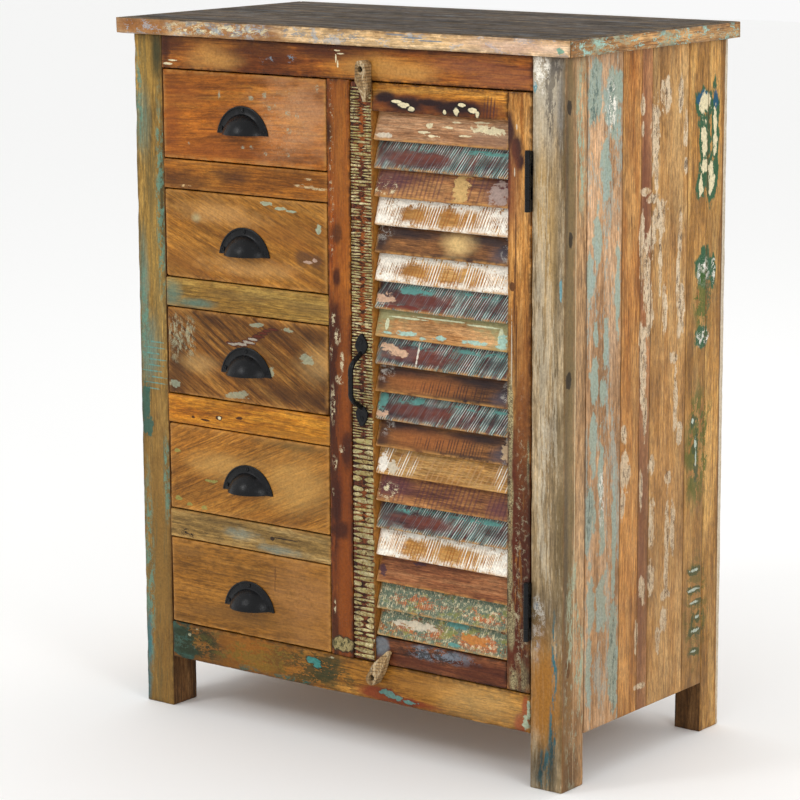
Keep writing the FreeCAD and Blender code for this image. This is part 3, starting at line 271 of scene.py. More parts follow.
def saw_strokes_group():
    """Parallel strokes at a regular pitch, broken here and there, turned by Lean."""
    tree, given, out = new_group("Saw strokes", {"Position": (0, 0, 0), "Lean": 0.6, "Pitch": 0.003,
                                                 "Width": 0.4, "Cover": 0.5}, ["Mask"])
    turned = add(tree, "VectorRotate", {"Vector": given.outputs["Position"],
                                        "Angle": given.outputs["Lean"]}, rotation_type="Z_AXIS")
    flat = vector_calc(tree, "MULTIPLY", turned.outputs[0], (1.0, 1.0, 0.0))
    scale = calc(tree, "DIVIDE", 0.314, given.outputs["Pitch"])
    bands = add(tree, "TexWave", {"Vector": flat, "Scale": scale, "Distortion": 2.6, "Detail": 2.0,
                                  "Detail Scale": 0.22}, bands_direction="Y")
    thin = remap(tree, calc(tree, "ADD", bands.outputs["Fac"], given.outputs["Width"]), 0.92, 1.18)
    spacing = calc(tree, "DIVIDE", 0.45, given.outputs["Pitch"])
    breaks = noise_value(tree, drawn_out(tree, flat, 0.10), spacing, 3.0, 0.6)
    kept = calc(tree, "MULTIPLY_ADD", given.outputs["Cover"], 0.34, breaks)
    tree.links.new(calc(tree, "MULTIPLY", thin, remap(tree, kept, 0.58, 0.68)), out.inputs["Mask"])
    return tree


def spot_distance_group():
    """Distance from a spot on the face of the board, 1 at its edge."""
    tree, given, out = new_group("Spot distance", {"Position": (0, 0, 0), "Centre": (0, 0, 0),
                                                   "Reach": (1, 1, 1)}, ["Distance"])
    offset = vector_calc(tree, "SUBTRACT", given.outputs["Position"], given.outputs["Centre"])
    flat = vector_calc(tree, "MULTIPLY", offset, (1.0, 1.0, 0.0))
    near = add(tree, "VectorMath", {0: vector_calc(tree, "DIVIDE", flat, given.outputs["Reach"])},
               operation="LENGTH")
    tree.links.new(near.outputs["Value"], out.inputs["Distance"])
    return tree


def ragged_edge_group():
    """Turns a distance into a mask with a ragged or a soft edge."""
    tree, given, out = new_group("Ragged edge", {"Position": (0, 0, 0), "Distance": 0.0, "Rag": 0.5,
                                                 "Grain": 120.0, "Soft": 0.12}, ["Mask"])
    drawn = drawn_out(tree, given.outputs["Position"], 0.55)
    ragged = calc(tree, "SUBTRACT", noise_value(tree, drawn, given.outputs["Grain"], 5.0, 0.65), 0.5)
    edge = calc(tree, "MULTIPLY_ADD", ragged, calc(tree, "MULTIPLY", given.outputs["Rag"], 4.0),
                given.outputs["Distance"])
    mask = remap(tree, edge, calc(tree, "ADD", 1.0, given.outputs["Soft"]),
                 calc(tree, "SUBTRACT", 1.0, given.outputs["Soft"]))
    tree.links.new(mask, out.inputs["Mask"])
    return tree


def crackle_group():
    """A net of dark cracks between small plates."""
    tree, given, out = new_group("Crackle", {"Position": (0, 0, 0), "Size": 180.0, "Width": 0.08},
                                 ["Mask"])
    wobble = add(tree, "TexNoise", {"Vector": given.outputs["Position"], "Scale": 260.0, "Detail": 2.0})
    moved = vector_calc(tree, "SUBTRACT", wobble.outputs["Color"], (0.5, 0.5, 0.5))
    pushed = vector_calc(tree, "MULTIPLY", moved, (0.003, 0.003, 0.003))
    plates = add(tree, "TexVoronoi", {"Vector": vector_calc(tree, "ADD", given.outputs["Position"], pushed),
                                      "Scale": given.outputs["Size"]}, feature="DISTANCE_TO_EDGE")
    tree.links.new(remap(tree, plates.outputs["Distance"], given.outputs["Width"], 0.0),
                   out.inputs["Mask"])
    return tree


GROUP_MAKERS = {"Timber figure": timber_figure_group, "Paint remains": paint_remains_group,
                "Saw strokes": saw_strokes_group, "Spot distance": spot_distance_group,
                "Ragged edge": ragged_edge_group, "Crackle": crackle_group}
GROUPS = {}


def use_group(tree, name, inputs):
    """The shared node group of that name with its inputs set or linked."""
    if name not in GROUPS:
        GROUPS[name] = GROUP_MAKERS[name]()
    node = tree.nodes.new("ShaderNodeGroup")
    node.node_tree = GROUPS[name]
    for key, value in inputs.items():
        if isinstance(value, bpy.types.NodeSocket):
            tree.links.new(value, node.inputs[key])
        else:
            node.inputs[key].default_value = value
    return node.outputs


def empty_material(name):
    """A new material and its node tree with nothing in it."""
    made = bpy.data.materials.new(name)
    made.use_nodes = True
    made.node_tree.nodes.clear()
    return made, made.node_tree


def close_material(tree, colour, rough, height, strength, depth, sheen):
    """Adds the relief, the shader and the output to a material's node tree."""
    relief = add(tree, "Bump", {"Strength": strength, "Distance": depth, "Height": height})
    shader = add(tree, "BsdfPrincipled", {"Base Color": colour, "Roughness": rough,
                                          "Normal": relief.outputs["Normal"],
                                          "Specular IOR Level": sheen})
    add(tree, "OutputMaterial", {"Surface": shader.outputs[0]})


# How the grain lies in the frame: which axes run along the grain, across the face and through it
LIES = {
    "front_across": ("X", "Z", "Y"),
    "front_upright": ("Z", "X", "Y"),
    "side_upright": ("Z", "Y", "X"),
    "flat_across": ("X", "Y", "Z"),
    "flat_deep": ("Y", "X", "Z"),
}


class Timber:
    """A wood finish under construction: figure first, then stains and old paint over it.

    A spot on the board is (along, across, reach along, reach across) in millimetres. Size and grain say how
    fine a pattern is, rag how torn its edge, soft how faded, cover and strength how much it hides, stretch
    how far it is drawn out along the grain, and at and off where it is kept and where it is left out.
    """

    # Where the dark, the middle and the light shade of the figure lie
    SHADES_AT = (0.40, 0.49, 0.60)
    # From which values to which tones the fibre, the clouds and the speckle run
    FIBRE_TONES = (0.32, 0.68, 0.66, 1.30)
    CLOUD_TONES = (0.36, 0.66, 0.74, 1.14)
    SPECKLE_TONES = (0.36, 0.64, 0.70, 1.27)
    PORE_STRENGTH, PORE_DARKNESS = 0.55, 0.4
    RELIEF_STRENGTH, RELIEF_DEPTH = 0.5, 0.0004

    def __init__(self, name, lie, shades, figure=26.0, bend=1.2, gloss=0.40, shift=0.0, lean=0.0,
                 origin=(0.0, 0.0), sheen=0.18):
        self.material, self.tree = empty_material(name)
        tree = self.tree
        self.gloss = gloss
        self.sheen = sheen
        parts = add(tree, "SeparateXYZ", {0: add(tree, "TexCoord").outputs["Object"]})
        along, across, through = LIES[lie]
        turned = add(tree, "CombineXYZ", {"X": parts.outputs[along], "Y": parts.outputs[across],
                                          "Z": parts.outputs[through]}).outputs[0]
        self.place = vector_calc(tree, "SUBTRACT", turned, (origin[0] / 1000, origin[1] / 1000, 0.0))
        self.position = vector_calc(tree, "ADD", turned, (shift, shift * 0.37, shift * 0.61))
        grain = self.position
        if lean:
            grain = add(tree, "VectorRotate", {"Vector": grain, "Angle": math.radians(-lean)},
                        rotation_type="Z_AXIS").outputs[0]
        wood = use_group(tree, "Timber figure", {"Position": grain, "Size": figure, "Bend": bend})
        dark, middle, light = [(*tint(code), 1.0) for code in shades]
        ramp = add(tree, "ValToRGB", {"Fac": wood["Figure"]})
        steps = ramp.color_ramp.elements
        steps[0].position, steps[0].color = self.SHADES_AT[0], dark
        steps[1].position, steps[1].color = self.SHADES_AT[2], light
        steps.new(self.SHADES_AT[1]).color = middle
        clouds = noise_value(tree, drawn_out(tree, grain, 0.35), 14.0, 4.0, 0.6)
        speckle = noise_value(tree, drawn_out(tree, grain, 0.3), 240.0, 4.0, 0.85)
        tone = ramp.outputs["Color"]
        for pattern, tones, smooth in ((wood["Fibre"], self.FIBRE_TONES, False),
                                       (clouds, self.CLOUD_TONES, True),
                                       (speckle, self.SPECKLE_TONES, True)):
            shade = grey(tree, remap(tree, pattern, *tones, smooth=smooth))
            tone = blend_colours(tree, 1.0, tone, shade, "MULTIPLY")
        self.colour = blend_colours(tree, calc(tree, "MULTIPLY", wood["Pores"], self.PORE_STRENGTH), tone,
                                    [channel * self.PORE_DARKNESS for channel in dark[:3]])
        self.height = wood["Height"]
        self.paint = 0.0

    def region(self, spots, rag=0.4, grain=120.0, soft=0.12):
        """A mask of the spots together."""
        nearest = None
        for along, across, reach_along, reach_across in spots:
            away = use_group(self.tree, "Spot distance", {
                "Position": self.place, "Centre": (along / 1000, across / 1000, 0.0),
                "Reach": (reach_along / 1000, reach_across / 1000, 1.0)})["Distance"]
            nearest = calc(self.tree, "MINIMUM", nearest, away) if nearest else away
        return use_group(self.tree, "Ragged edge", {"Position": self.position, "Distance": nearest,
                                                    "Rag": rag, "Grain": grain, "Soft": soft})["Mask"]

    def kept(self, mask, at, off):
        """The part of a mask that lies at some spots and off others."""
        if at:
            mask = calc(self.tree, "MULTIPLY", mask, self.region(at, 0.35, 70.0, 0.35))
        if off:
            clear = calc(self.tree, "SUBTRACT", 1.0, self.region(off, 0.35, 90.0, 0.30))
            mask = calc(self.tree, "MULTIPLY", mask, clear)
        return mask

    def lay(self, mask, colour, lift=0.5, strength=1.0, vary=0.20):
        """Lays a colour over the timber where the mask is, a little uneven and a little raised."""
        tree = self.tree
        if strength < 1.0:
            mask = calc(tree, "MULTIPLY", mask, strength)
        uneven = remap(tree, noise_value(tree, self.position, 260.0, 4.0, 0.7), 0.3, 0.7,
                       1.0 - vary, 1.0 + vary)
        coat = blend_colours(tree, 1.0, ink(colour), grey(tree, uneven), "MULTIPLY")
        self.colour = blend_colours(tree, mask, self.colour, coat)
        if lift:
            self.height = calc(tree, "MULTIPLY_ADD", mask, lift, self.height)
            self.paint = calc(tree, "MAXIMUM", self.paint, mask)
        return self

    def stain(self, colour, spots, strength=0.7, soft=0.75, rag=0.35, grain=45.0):
        """A soft-edged stain in the wood itself."""
        return self.lay(self.region(spots, rag, grain, soft), colour, 0.0, strength)

    def mark(self, colour, spots, rag=0.4, grain=120.0, strength=1.0, border=None):
        """Hard-edged flakes of paint at chosen spots, with an outline if a border is given."""
        if border:
            wider = [(a, b, c * 1.18 + 1.0, d * 1.18 + 1.0) for a, b, c, d in spots]
            self.lay(self.region(wider, rag, grain), border, 0.2, strength)
        return self.lay(self.region(spots, rag, grain), colour, 0.6, strength)

    def patches(self, colour, size=40.0, cover=0.3, stretch=0.5, rag=0.5, border=None, shift=0.0,
                lift=0.5, strength=1.0, at=None, off=None):
        """Ragged islands of old paint, with an outline where a border colour is given."""
        moved = vector_calc(self.tree, "ADD", self.position, (shift, shift, shift))
        made = use_group(self.tree, "Paint remains", {"Position": moved, "Size": size, "Cover": cover,
                                                      "Stretch": stretch, "Rag": rag})
        if border:
            self.lay(self.kept(made["Border"], at, off), border, lift * 0.6, strength)
        return self.lay(self.kept(made["Mask"], at, off), colour, lift, strength)

    def strokes(self, colour, lean=60.0, pitch=3.0, width=0.4, cover=0.5, shift=0.0, strength=0.95,
                at=None, off=None):
        """Regular parallel strokes that lean to the right by so many degrees."""
        moved = vector_calc(self.tree, "ADD", self.position, (shift, shift * 0.7, 0.0))
        made = use_group(self.tree, "Saw strokes", {"Position": moved, "Lean": math.radians(-lean),
                                                    "Pitch": pitch / 1000, "Width": width, "Cover": cover})
        return self.lay(self.kept(made["Mask"], at, off), colour, 0.2, strength)

    def crackle(self, colour, size=180.0, width=0.08, strength=0.8, at=None, off=None):
        """A net of cracks in the paint."""
        made = use_group(self.tree, "Crackle", {"Position": self.position, "Size": size, "Width": width})
        return self.lay(self.kept(made["Mask"], at, off), colour, -0.4, strength)

    def done(self, wear_colour="2a180b", wear=0.55):
        """Rubs the edges, adds gloss and relief, and returns the material."""
        tree = self.tree
        edge = add(tree, "Attribute", attribute_name="wear").outputs["Fac"]
        broken = remap(tree, noise_value(tree, self.position, 90.0, 4.0, 0.6), 0.34, 0.60)
        rubbed = calc(tree, "MULTIPLY", calc(tree, "MULTIPLY", edge, broken), wear)
        self.colour = blend_colours(tree, rubbed, self.colour, ink(wear_colour))
        rough = remap(tree, noise_value(tree, self.position, 34.0, 5.0, 0.6), 0.3, 0.7,
                      self.gloss - 0.08, self.gloss + 0.12)
        rough = calc(tree, "MULTIPLY_ADD", self.paint, 0.15, rough, clamp=True)
        close_material(tree, self.colour, rough, self.height, self.RELIEF_STRENGTH, self.RELIEF_DEPTH,
                       self.sheen)
        return self.material


# Mesh helpers

def node_mesh(node):
    """The mesh of a CAD node."""
    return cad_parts[node].data


def welded(node):
    """The mesh of a CAD node with its corners joined, to be worked on."""
    mesh = bmesh.new()
    mesh.from_mesh(node_mesh(node))
    bmesh.ops.remove_doubles(mesh, verts=mesh.verts, dist=WELD)
    return mesh


def solids(node):
    """Lowest and highest corner of every separate solid of a CAD node."""
    mesh = welded(node)
    waiting = set(mesh.verts)
    found = []
    while waiting:
        reached = [waiting.pop()]
        piece = list(reached)
        while reached:
            for edge in reached.pop().link_edges:
                for vertex in edge.verts:
                    if vertex in waiting:
                        waiting.discard(vertex)
                        reached.append(vertex)
                        piece.append(vertex)
        low = Vector([min(v.co[i] for v in piece) for i in range(3)])
        high = Vector([max(v.co[i] for v in piece) for i in range(3)])
        found.append((low, high))
    mesh.free()
    return found


def from_the_top(boxes):
    """Boxes in order from the highest to the lowest."""
    return sorted(boxes, key=lambda box: -box[0].z)


def seams(node, axis):
    """Where the boards of a node that lie edge to edge begin and end along an axis."""
    places = sorted({round(vertex.co[axis], 5) for vertex in node_mesh(node).vertices})
    return list(zip(places, places[1:]))


def spanning(low, high, axis, start, end):
    """The corners of a box with its ends along one axis moved to two places."""
    low, high = low.copy(), high.copy()
    low[axis], high[axis] = start, end
    return low, high


def grid_lines(low, high, step, ease):
    """Mesh lines between two faces, close together near the edges."""
    length = high - low
    near = [0.0, ease * 0.25, ease * 0.6, ease, ease * 1.8]
    if length < ease * 4:
        return [low, low + length / 3, high - length / 3, high]
    inner = length - 2 * near[-1]
    count = max(1, round(inner / step))
    middle = [low + near[-1] + inner * i / count for i in range(1, count)]
    return [low + n for n in near] + middle + [high - n for n in reversed(near)]


def surface_grid(lines):
    """Vertices and faces of a box surface on three sets of mesh lines."""
    last = [len(row) - 1 for row in lines]
    index, points, faces = {}, [], []

    def vertex(key):
        if key not in index:
            index[key] = len(points)
            points.append(Vector([lines[i][key[i]] for i in range(3)]))
        return index[key]

    for axis in range(3):
        first, second = [(1, 2), (2, 0), (0, 1)][axis]
        for side in (0, last[axis]):
            for i in range(last[first]):
                for j in range(last[second]):
                    ring = []
                    for di, dj in ((0, 0), (1, 0), (1, 1), (0, 1)):
                        key = [0, 0, 0]
                        key[axis], key[first], key[second] = side, i + di, j + dj
                        ring.append(vertex(tuple(key)))
                    faces.append(ring if side else ring[::-1])
    return points, faces


# How closely the coarse, the fine and the deep dents lie along a board's edges, and its faces wave
COARSE_DENTS, FINE_DENTS, DEEP_DENTS, WAVES = 23.0, 95.0, 41.0, 9.0
# The share of the noise that makes no deep dent
NO_DENT = 0.28


def worn_box(low, high, ease, wear, wave, step, seed):
    """Points, faces and edge wear of a board with rounded, dented edges inside its box."""
    most = ease + wear
    lines = [grid_lines(low[i], high[i], step, most) for i in range(3)]
    points, faces = surface_grid(lines)
    shift = Vector((seed * 7.13, seed * 3.71, seed * 1.37))
    shaped, rubs = [], []
    for point in points:
        gaps = sorted(min(point[i] - low[i], high[i] - point[i]) for i in range(3))
        coarse = noise.noise(point * COARSE_DENTS + shift)
        fine = noise.noise(point * FINE_DENTS + shift)
        dent = max(0.0, noise.noise(point * DEEP_DENTS - shift) - NO_DENT)
        radius = min(most, max(ease * 0.5, ease * (1.0 + 0.5 * coarse) + wear * (0.35 * fine + 2.2 * dent)))
        inner_low = [low[i] + min(radius, (high[i] - low[i]) / 2) for i in range(3)]
        inner_high = [high[i] - min(radius, (high[i] - low[i]) / 2) for i in range(3)]
        held = Vector([min(max(point[i], inner_low[i]), inner_high[i]) for i in range(3)])
        out = point - held
        if sum(abs(c) > 1e-9 for c in out) > 1:
            point = held + out.normalized() * radius
        centre = [(low[i] + high[i]) / 2 for i in range(3)]
        depth = wave * (0.5 + 0.5 * noise.noise(point * WAVES + shift * 2))
        for i in range(3):
            half = (high[i] - low[i]) / 2
            if half > 0 and abs(point[i] - centre[i]) > half - most:
                point[i] -= math.copysign(min(abs(depth), half * 0.2), point[i] - centre[i])
        shaped.append(point)
        rubs.append(math.exp(-(gaps[1] / (most * 0.9)) ** 2))
    return shaped, faces, rubs


def placed(name, data):
    """A new object in the scene for a mesh, a lamp or a camera."""
    piece = bpy.data.objects.new(name, data)
    bpy.context.scene.collection.objects.link(piece)
    return piece


def worked_piece(name, work, sharp_from=None):
    """A new smooth object from a mesh under work, sharp where it bends more than so many degrees."""
    mesh = bpy.data.meshes.new(name)
    work.to_mesh(mesh)
    work.free()
    mesh.shade_smooth()
    if sharp_from:
        mesh.set_sharp_from_angle(angle=math.radians(sharp_from))
    return placed(name, mesh)


def mesh_piece(name, points, faces, rubs=None, smooth=True):
    """A new object from points and faces, with its edge wear as an attribute."""
    mesh = bpy.data.meshes.new(name)
    mesh.from_pydata([tuple(p) for p in points], [], faces)
    mesh.validate()
    if rubs is not None:
        layer = mesh.attributes.new("wear", "FLOAT", "POINT")
        layer.data.foreach_set("value", rubs)
    if smooth:
        mesh.shade_smooth()
    return placed(name, mesh)


def finish_piece(piece, body, finish, nodes=()):
    """Gives a piece its finish, its body and the CAD nodes that it stands for."""
    piece.data.materials.append(material(finish))
    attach(piece, body)
    if nodes:
        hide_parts(*nodes)
    return piece


def row_node(index, node):
    """The CAD node of a row of boards, which the first board of the row stands for."""
    return [node] if index == 0 else ()


def face_finish(piece, direction, finish):
    """Gives the faces of a piece that look one way a finish of their own."""
    piece.data.materials.append(material(finish))
    index = len(piece.data.materials) - 1
    for face in piece.data.polygons:
        if face.normal.dot(Vector(direction)) > FACES_THAT_WAY:
            face.material_index = index


def finish_nodes(finishes):
    """Gives CAD nodes that stay as they are their finishes."""
    for node, finish in finishes.items():
        node_mesh(node).materials.clear()
        node_mesh(node).materials.append(material(finish))


def board(name, low, high, seed, ease=1.0, wear=1.0, wave=1.0):
    """A timber board that fills its place in the frame."""
    given = sizes()
    points, faces, rubs = worn_box(low, high, given.edge_ease * ease, given.edge_wear * wear,
                                   given.surface_wave * wave, given.grid_step, seed)
    return mesh_piece(name, points, faces, rubs)


def join_rings(target, rings):
    """Faces between rings that have as many points each."""
    for near, far in zip(rings, rings[1:]):
        for step in range(len(near)):
            after = (step + 1) % len(near)
            target.faces.new((near[step], near[after], far[after], far[step]))


def close_rings(target, rings):
    """A closed body from rings of points."""
    join_rings(target, rings)
    target.faces.new(rings[0][::-1])
    target.faces.new(rings[-1])


def apply_modifiers(piece):
    """Turns the modifiers of a piece into its mesh."""
    graph = bpy.context.evaluated_depsgraph_get()
    made = bpy.data.meshes.new_from_object(piece.evaluated_get(graph))
    piece.modifiers.clear()
    old, piece.data = piece.data, made
    bpy.data.meshes.remove(old)
    return piece


def forged(name, node, voxel, relief, grain):
    """A copy of a CAD node with softened edges and hand-worked dents, kept inside its box."""
    piece = worked_piece(name, welded(node))
    remesh = piece.modifiers.new("even", "REMESH")
    remesh.mode = "VOXEL"
    remesh.voxel_size = voxel
    soften = piece.modifiers.new("soften", "SMOOTH")
    soften.iterations = 3
    soften.factor = 0.5
    apply_modifiers(piece)
    low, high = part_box(node)
    for vertex in piece.data.vertices:
        dent = max(0.0, 0.5 + noise.noise(vertex.co * grain)) * relief
        moved = vertex.co - vertex.normal * dent
        vertex.co = Vector([min(max(moved[i], low[i]), high[i]) for i in range(3)])
    piece.data.shade_smooth()
    return piece


# Finishes

def plain_timber(name, lie, shades, **more):
    return Timber(name, lie, shades, **more).done(wear=0.3)


def iron_material():
    """Black satin iron with a cast surface and rubbed high places."""
    made, tree = empty_material("black_iron")
    place = add(tree, "TexCoord").outputs["Object"]
    cast = noise_value(tree, place, 900.0, 3.0, 0.6)
    worn = remap(tree, noise_value(tree, place, 120.0, 4.0, 0.6), 0.56, 0.72)
    tone = blend_colours(tree, calc(tree, "MULTIPLY", worn, 0.35), ink("iron"), ink("rubbed_iron"))
    rough = remap(tree, noise_value(tree, place, 300.0, 3.0), 0.3, 0.7, 0.24, 0.38)
    hammered = noise_value(tree, place, 140.0, 1.0, 0.4)
    height = calc(tree, "MULTIPLY_ADD", hammered, 1.2, calc(tree, "MULTIPLY", cast, 0.5))
    close_material(tree, tone, rough, height, strength=0.35, depth=0.0006, sheen=0.20)
    return made


MATERIALS = {}


def material(name):
    """The finish of that name, built once by its maker."""
    if name not in MATERIALS:
        MATERIALS[name] = FINISHES[name]()
    return MATERIALS[name]


def top_plank_finish():
    return (Timber("top_planks", "flat_across", ("2c241d", "4a3f33", "62564a"), 34.0, 2.0, gloss=0.62,
                   sheen=0.05)
            .patches("slate", 60.0, 0.16, 0.22, 0.7, strength=0.4)
            .patches("8a7a62", 90.0, 0.12, 0.2, 0.8, strength=0.5, shift=3.0)
            .done("96794f", 0.4))


def edging_finish():
    return (Timber("top_edging", "front_across", ("be9766", "ddb885", "eed1a7"), 34.0, 1.4)
            .stain("96602c", [(-320, 959, 90, 16), (-190, 956, 95, 13)], 0.9)
            .stain("7d4a20", [(-105, 955, 24, 14), (-352, 965, 20, 8)], 0.7)
            .patches("cream", 170.0, 0.42, 0.45, 0.9, at=[(-230, 960, 55, 9), (-150, 960, 42, 8)])
            .patches("slate", 110.0, 0.36, 0.5, 0.8, strength=0.7, shift=2.0,
                     at=[(-190, 961, 95, 9), (-60, 960, 22, 9), (-10, 958, 14, 8), (30, 959, 26, 7)])
            .patches("sky", 60.0, 0.24, 0.5, 0.7, strength=0.6, shift=5.0)
            .mark("slate", [(105, 966, 16, 1.2), (133, 963, 16, 1.1), (162, 960, 18, 1.0)], 0.3, 200.0, 0.9)
            .stain("pink", [(300, 959, 75, 10)], 0.5)
            .mark("7ba08a", [(360, 956, 5, 4)], 0.5, 260.0)
            .done("6b4a28", 0.6))


def edging_side_finish():
    return (Timber("top_edging_side", "flat_deep", ("8a5c30", "b3824c", "c89e68"), 34.0, 1.4)
            .patches("sage", 60.0, 0.34, 0.5, 0.8, at=[(-120, 360, 70, 20), (40, 360, 60, 20)])
            .patches("aqua", 90.0, 0.24, 0.5, 0.9, shift=2.0)
            .done("54381f", 0.6))


def top_rail_finish():
    return (Timber("top_rail", "front_across", ("6c350e", "9a561b", "bc7629"), 26.0, 2.0, gloss=0.32)
            .stain("c08c48", [(-215, 921, 40, 16), (60, 922, 55, 13), (110, 918, 50, 10)], 0.75)
            .stain("46200f", [(-130, 935, 70, 13), (-290, 938, 40, 12), (-30, 936, 60, 10)], 0.85)
            # The soft band along the whole top edge paints the shade under the overhanging top
            .stain("3a1a0c", [(0, 948, 320, 5), (-300, 925, 6, 22)], 0.85)
            .stain("7d4a38", [(270, 915, 60, 16), (215, 930, 60, 12)], 0.6)
            .patches("slate", 120.0, 0.24, 0.6, 0.8, at=[(-120, 922, 14, 6), (-80, 925, 8, 6)])
            .mark("cream", [(-296, 909, 9, 1.6), (-287, 914, 7, 1.0)], 0.4, 260.0)
            .mark("cream", [(-2, 940, 5, 1.0), (4, 936, 6, 0.9), (-4, 930, 1.2, 5), (-1, 922, 1.2, 5)],
                  0.5, 300.0)
            .done("2a130a", 0.8))


def bottom_rail_finish():
    return (Timber("bottom_rail", "front_across", ("6e4618", "966420", "b07c34"), 28.0, 1.6)
            .stain("7c4c18", [(-160, 100, 130, 30)], 0.65)
            .mark("deep_teal", [(-294, 104, 22, 24), (-282, 84, 20, 12)], 0.7, 90.0, 0.9)
            .patches("23331f", 50.0, 0.54, 0.5, 0.8, shift=4.0, strength=0.85,
                     at=[(-265, 100, 50, 26), (-70, 98, 80, 26)])
            .patches("5c5a26", 44.0, 0.46, 0.5, 0.8, strength=0.75, at=[(-165, 102, 90, 24)])
            .patches("deep_teal", 90.0, 0.50, 0.5, 0.8, shift=9.0, at=[(-170, 77, 20, 5), (-95, 76, 40, 4)])
            .mark("387f78", [(-56, 110, 8, 5), (-46, 106, 7, 6)], 0.9, 170.0, 0.95, "23220f")
            .mark("b5b090", [(-276, 109, 2.6, 2.4), (-262, 119, 2, 1.2), (-20, 119, 4, 1.4)],
                  0.9, 260.0, 0.8)
            .stain("7c2f18", [(60, 82, 40, 9), (110, 79, 45, 6)], 0.9, 0.4)
            .mark("teal", [(74, 86, 11, 4), (90, 82, 12, 3.4), (110, 79, 11, 2.4)],
                  0.9, 170.0, 0.95, "6a2414")
            .stain("8c3a1c", [(293, 82, 10, 14), (300, 100, 6, 24)], 0.9, 0.4)
            .mark("sage", [(301, 84, 5, 8), (305, 104, 2, 12)], 0.9, 150.0)
            .stain("b98440", [(160, 106, 60, 12)], 0.4)
            .stain("2e1600", [(-262, 98, 54, 30)], 0.28)
            .stain("ac6606", [(-143, 98, 60, 30)], 0.28)
            .stain("5a3210", [(100, 98, 56, 30)], 0.3)
            .stain("b4a678", [(232, 98, 62, 26)], 0.25)
            .done("2c1c0c", 0.7))


# Shades of the rails between the drawers, from the top
RAIL_TIMBER = (("75420e", "925717", "ac6e24"), ("795721", "96702e", "ae8b44"),
               ("975810", "bd791d", "cf8e2c"), ("7b5f31", "9c7a41", "b79860"))


def drawer_rail_finish(index):
    wood = Timber("drawer_rail_%d" % (index + 1), "front_across", RAIL_TIMBER[index], 30.0, 1.2,
                  shift=index * 1.7)
    if index == 0:
        (wood.stain("3f2210", [(-280, 750, 50, 14), (-190, 762, 30, 10)], 0.7)
         .patches("c4b086", 260.0, 0.46, 0.4, 0.9, strength=0.85,
                  at=[(-58, 758, 15, 2.2), (-30, 756, 15, 1.8), (-52, 768, 6, 1.4)])
         .patches("sand", 240.0, 0.46, 0.4, 0.9, at=[(-268, 744, 10, 1.6)]))
    elif index == 1:
        (wood.stain("4f7468", [(-297, 592, 16, 18), (-255, 583, 30, 6)], 0.7)
         .stain("5c4526", [(-170, 600, 60, 6), (-60, 596, 40, 8)], 0.5))
    elif index == 2:
        (wood.mark("4a2a0e", [(-262, 423, 3, 2), (-215, 427, 6, 3.5), (-240, 421, 8, 1.5),
                              (-178, 431, 6, 2)], 0.4, 220.0)
         .mark("cream", [(-214, 427, 3.4, 2)], 0.5, 300.0)
         .stain("8a5a1c", [(-80, 418, 70, 3)], 0.6))
    else:
        (wood.stain("7f9a94", [(-178, 266, 24, 7), (-115, 254, 34, 5)], 0.4, 0.9, 0.9)
         .mark("33261a", [(-100, 272, 22, 0.9), (-122, 270, 4, 3)], 0.4, 220.0)
         .patches("2c2013", 130.0, 0.26, 0.4, 0.8, at=[(-260, 256, 45, 6)]))
    return wood.done("b07c3e", 0.4)


def centre_post_finish():
    flakes = [(470, -14, 22, 4), (528, 2, 14, 3), (562, -5, 10, 5), (585, -12, 8, 3), (540, -16, 10, 2),
              (505, -2, 6, 6), (392, -12, 10, 4), (410, 0, 6, 4), (350, -15, 5, 2), (190, -14, 12, 2)]
    return (Timber("centre_post", "front_upright", ("763308", "9b5216", "b76f24"), 30.0, 1.4, gloss=0.24)
            .stain("66300b", [(330, -2, 330, 26)], 0.75, 0.5)
            .stain("8c480c", [(230, 4, 90, 9), (700, 8, 60, 8), (440, 8, 80, 6)], 0.65)
            .patches("190b05", 26.0, 0.46, 0.16, 0.6, strength=0.75, lift=0.0,
                     at=[(470, -12, 240, 8), (150, -14, 60, 6)])
            .stain("210d06", [(832, -16, 16, 5), (700, -4, 14, 8), (640, -6, 12, 6), (575, -10, 34, 10),
                              (500, -14, 60, 7), (335, -8, 36, 8), (300, -4, 12, 14), (410, 8, 24, 8)],
                   0.9, 0.5)
            .patches("cream", 230.0, 0.40, 0.7, 0.9, at=flakes)
            .patches("cream", 190.0, 0.12, 0.8, 0.9, shift=4.0, at=[(800, -13, 130, 4)])
            .stain("8e5a26", [(820, 0, 110, 14)], 0.5)
            .stain("6e2800", [(480, 0, 420, 30)], 0.2)
            .mark("9a8a5c", [(141, -1, 9, 19)], 0.35, 200.0, 1.0, "2c1a0c")
            .patches("3c3a20", 150.0, 0.40, 0.9, 0.9, at=[(141, -1, 9, 17)])
            .done("1f0e07", 0.8))


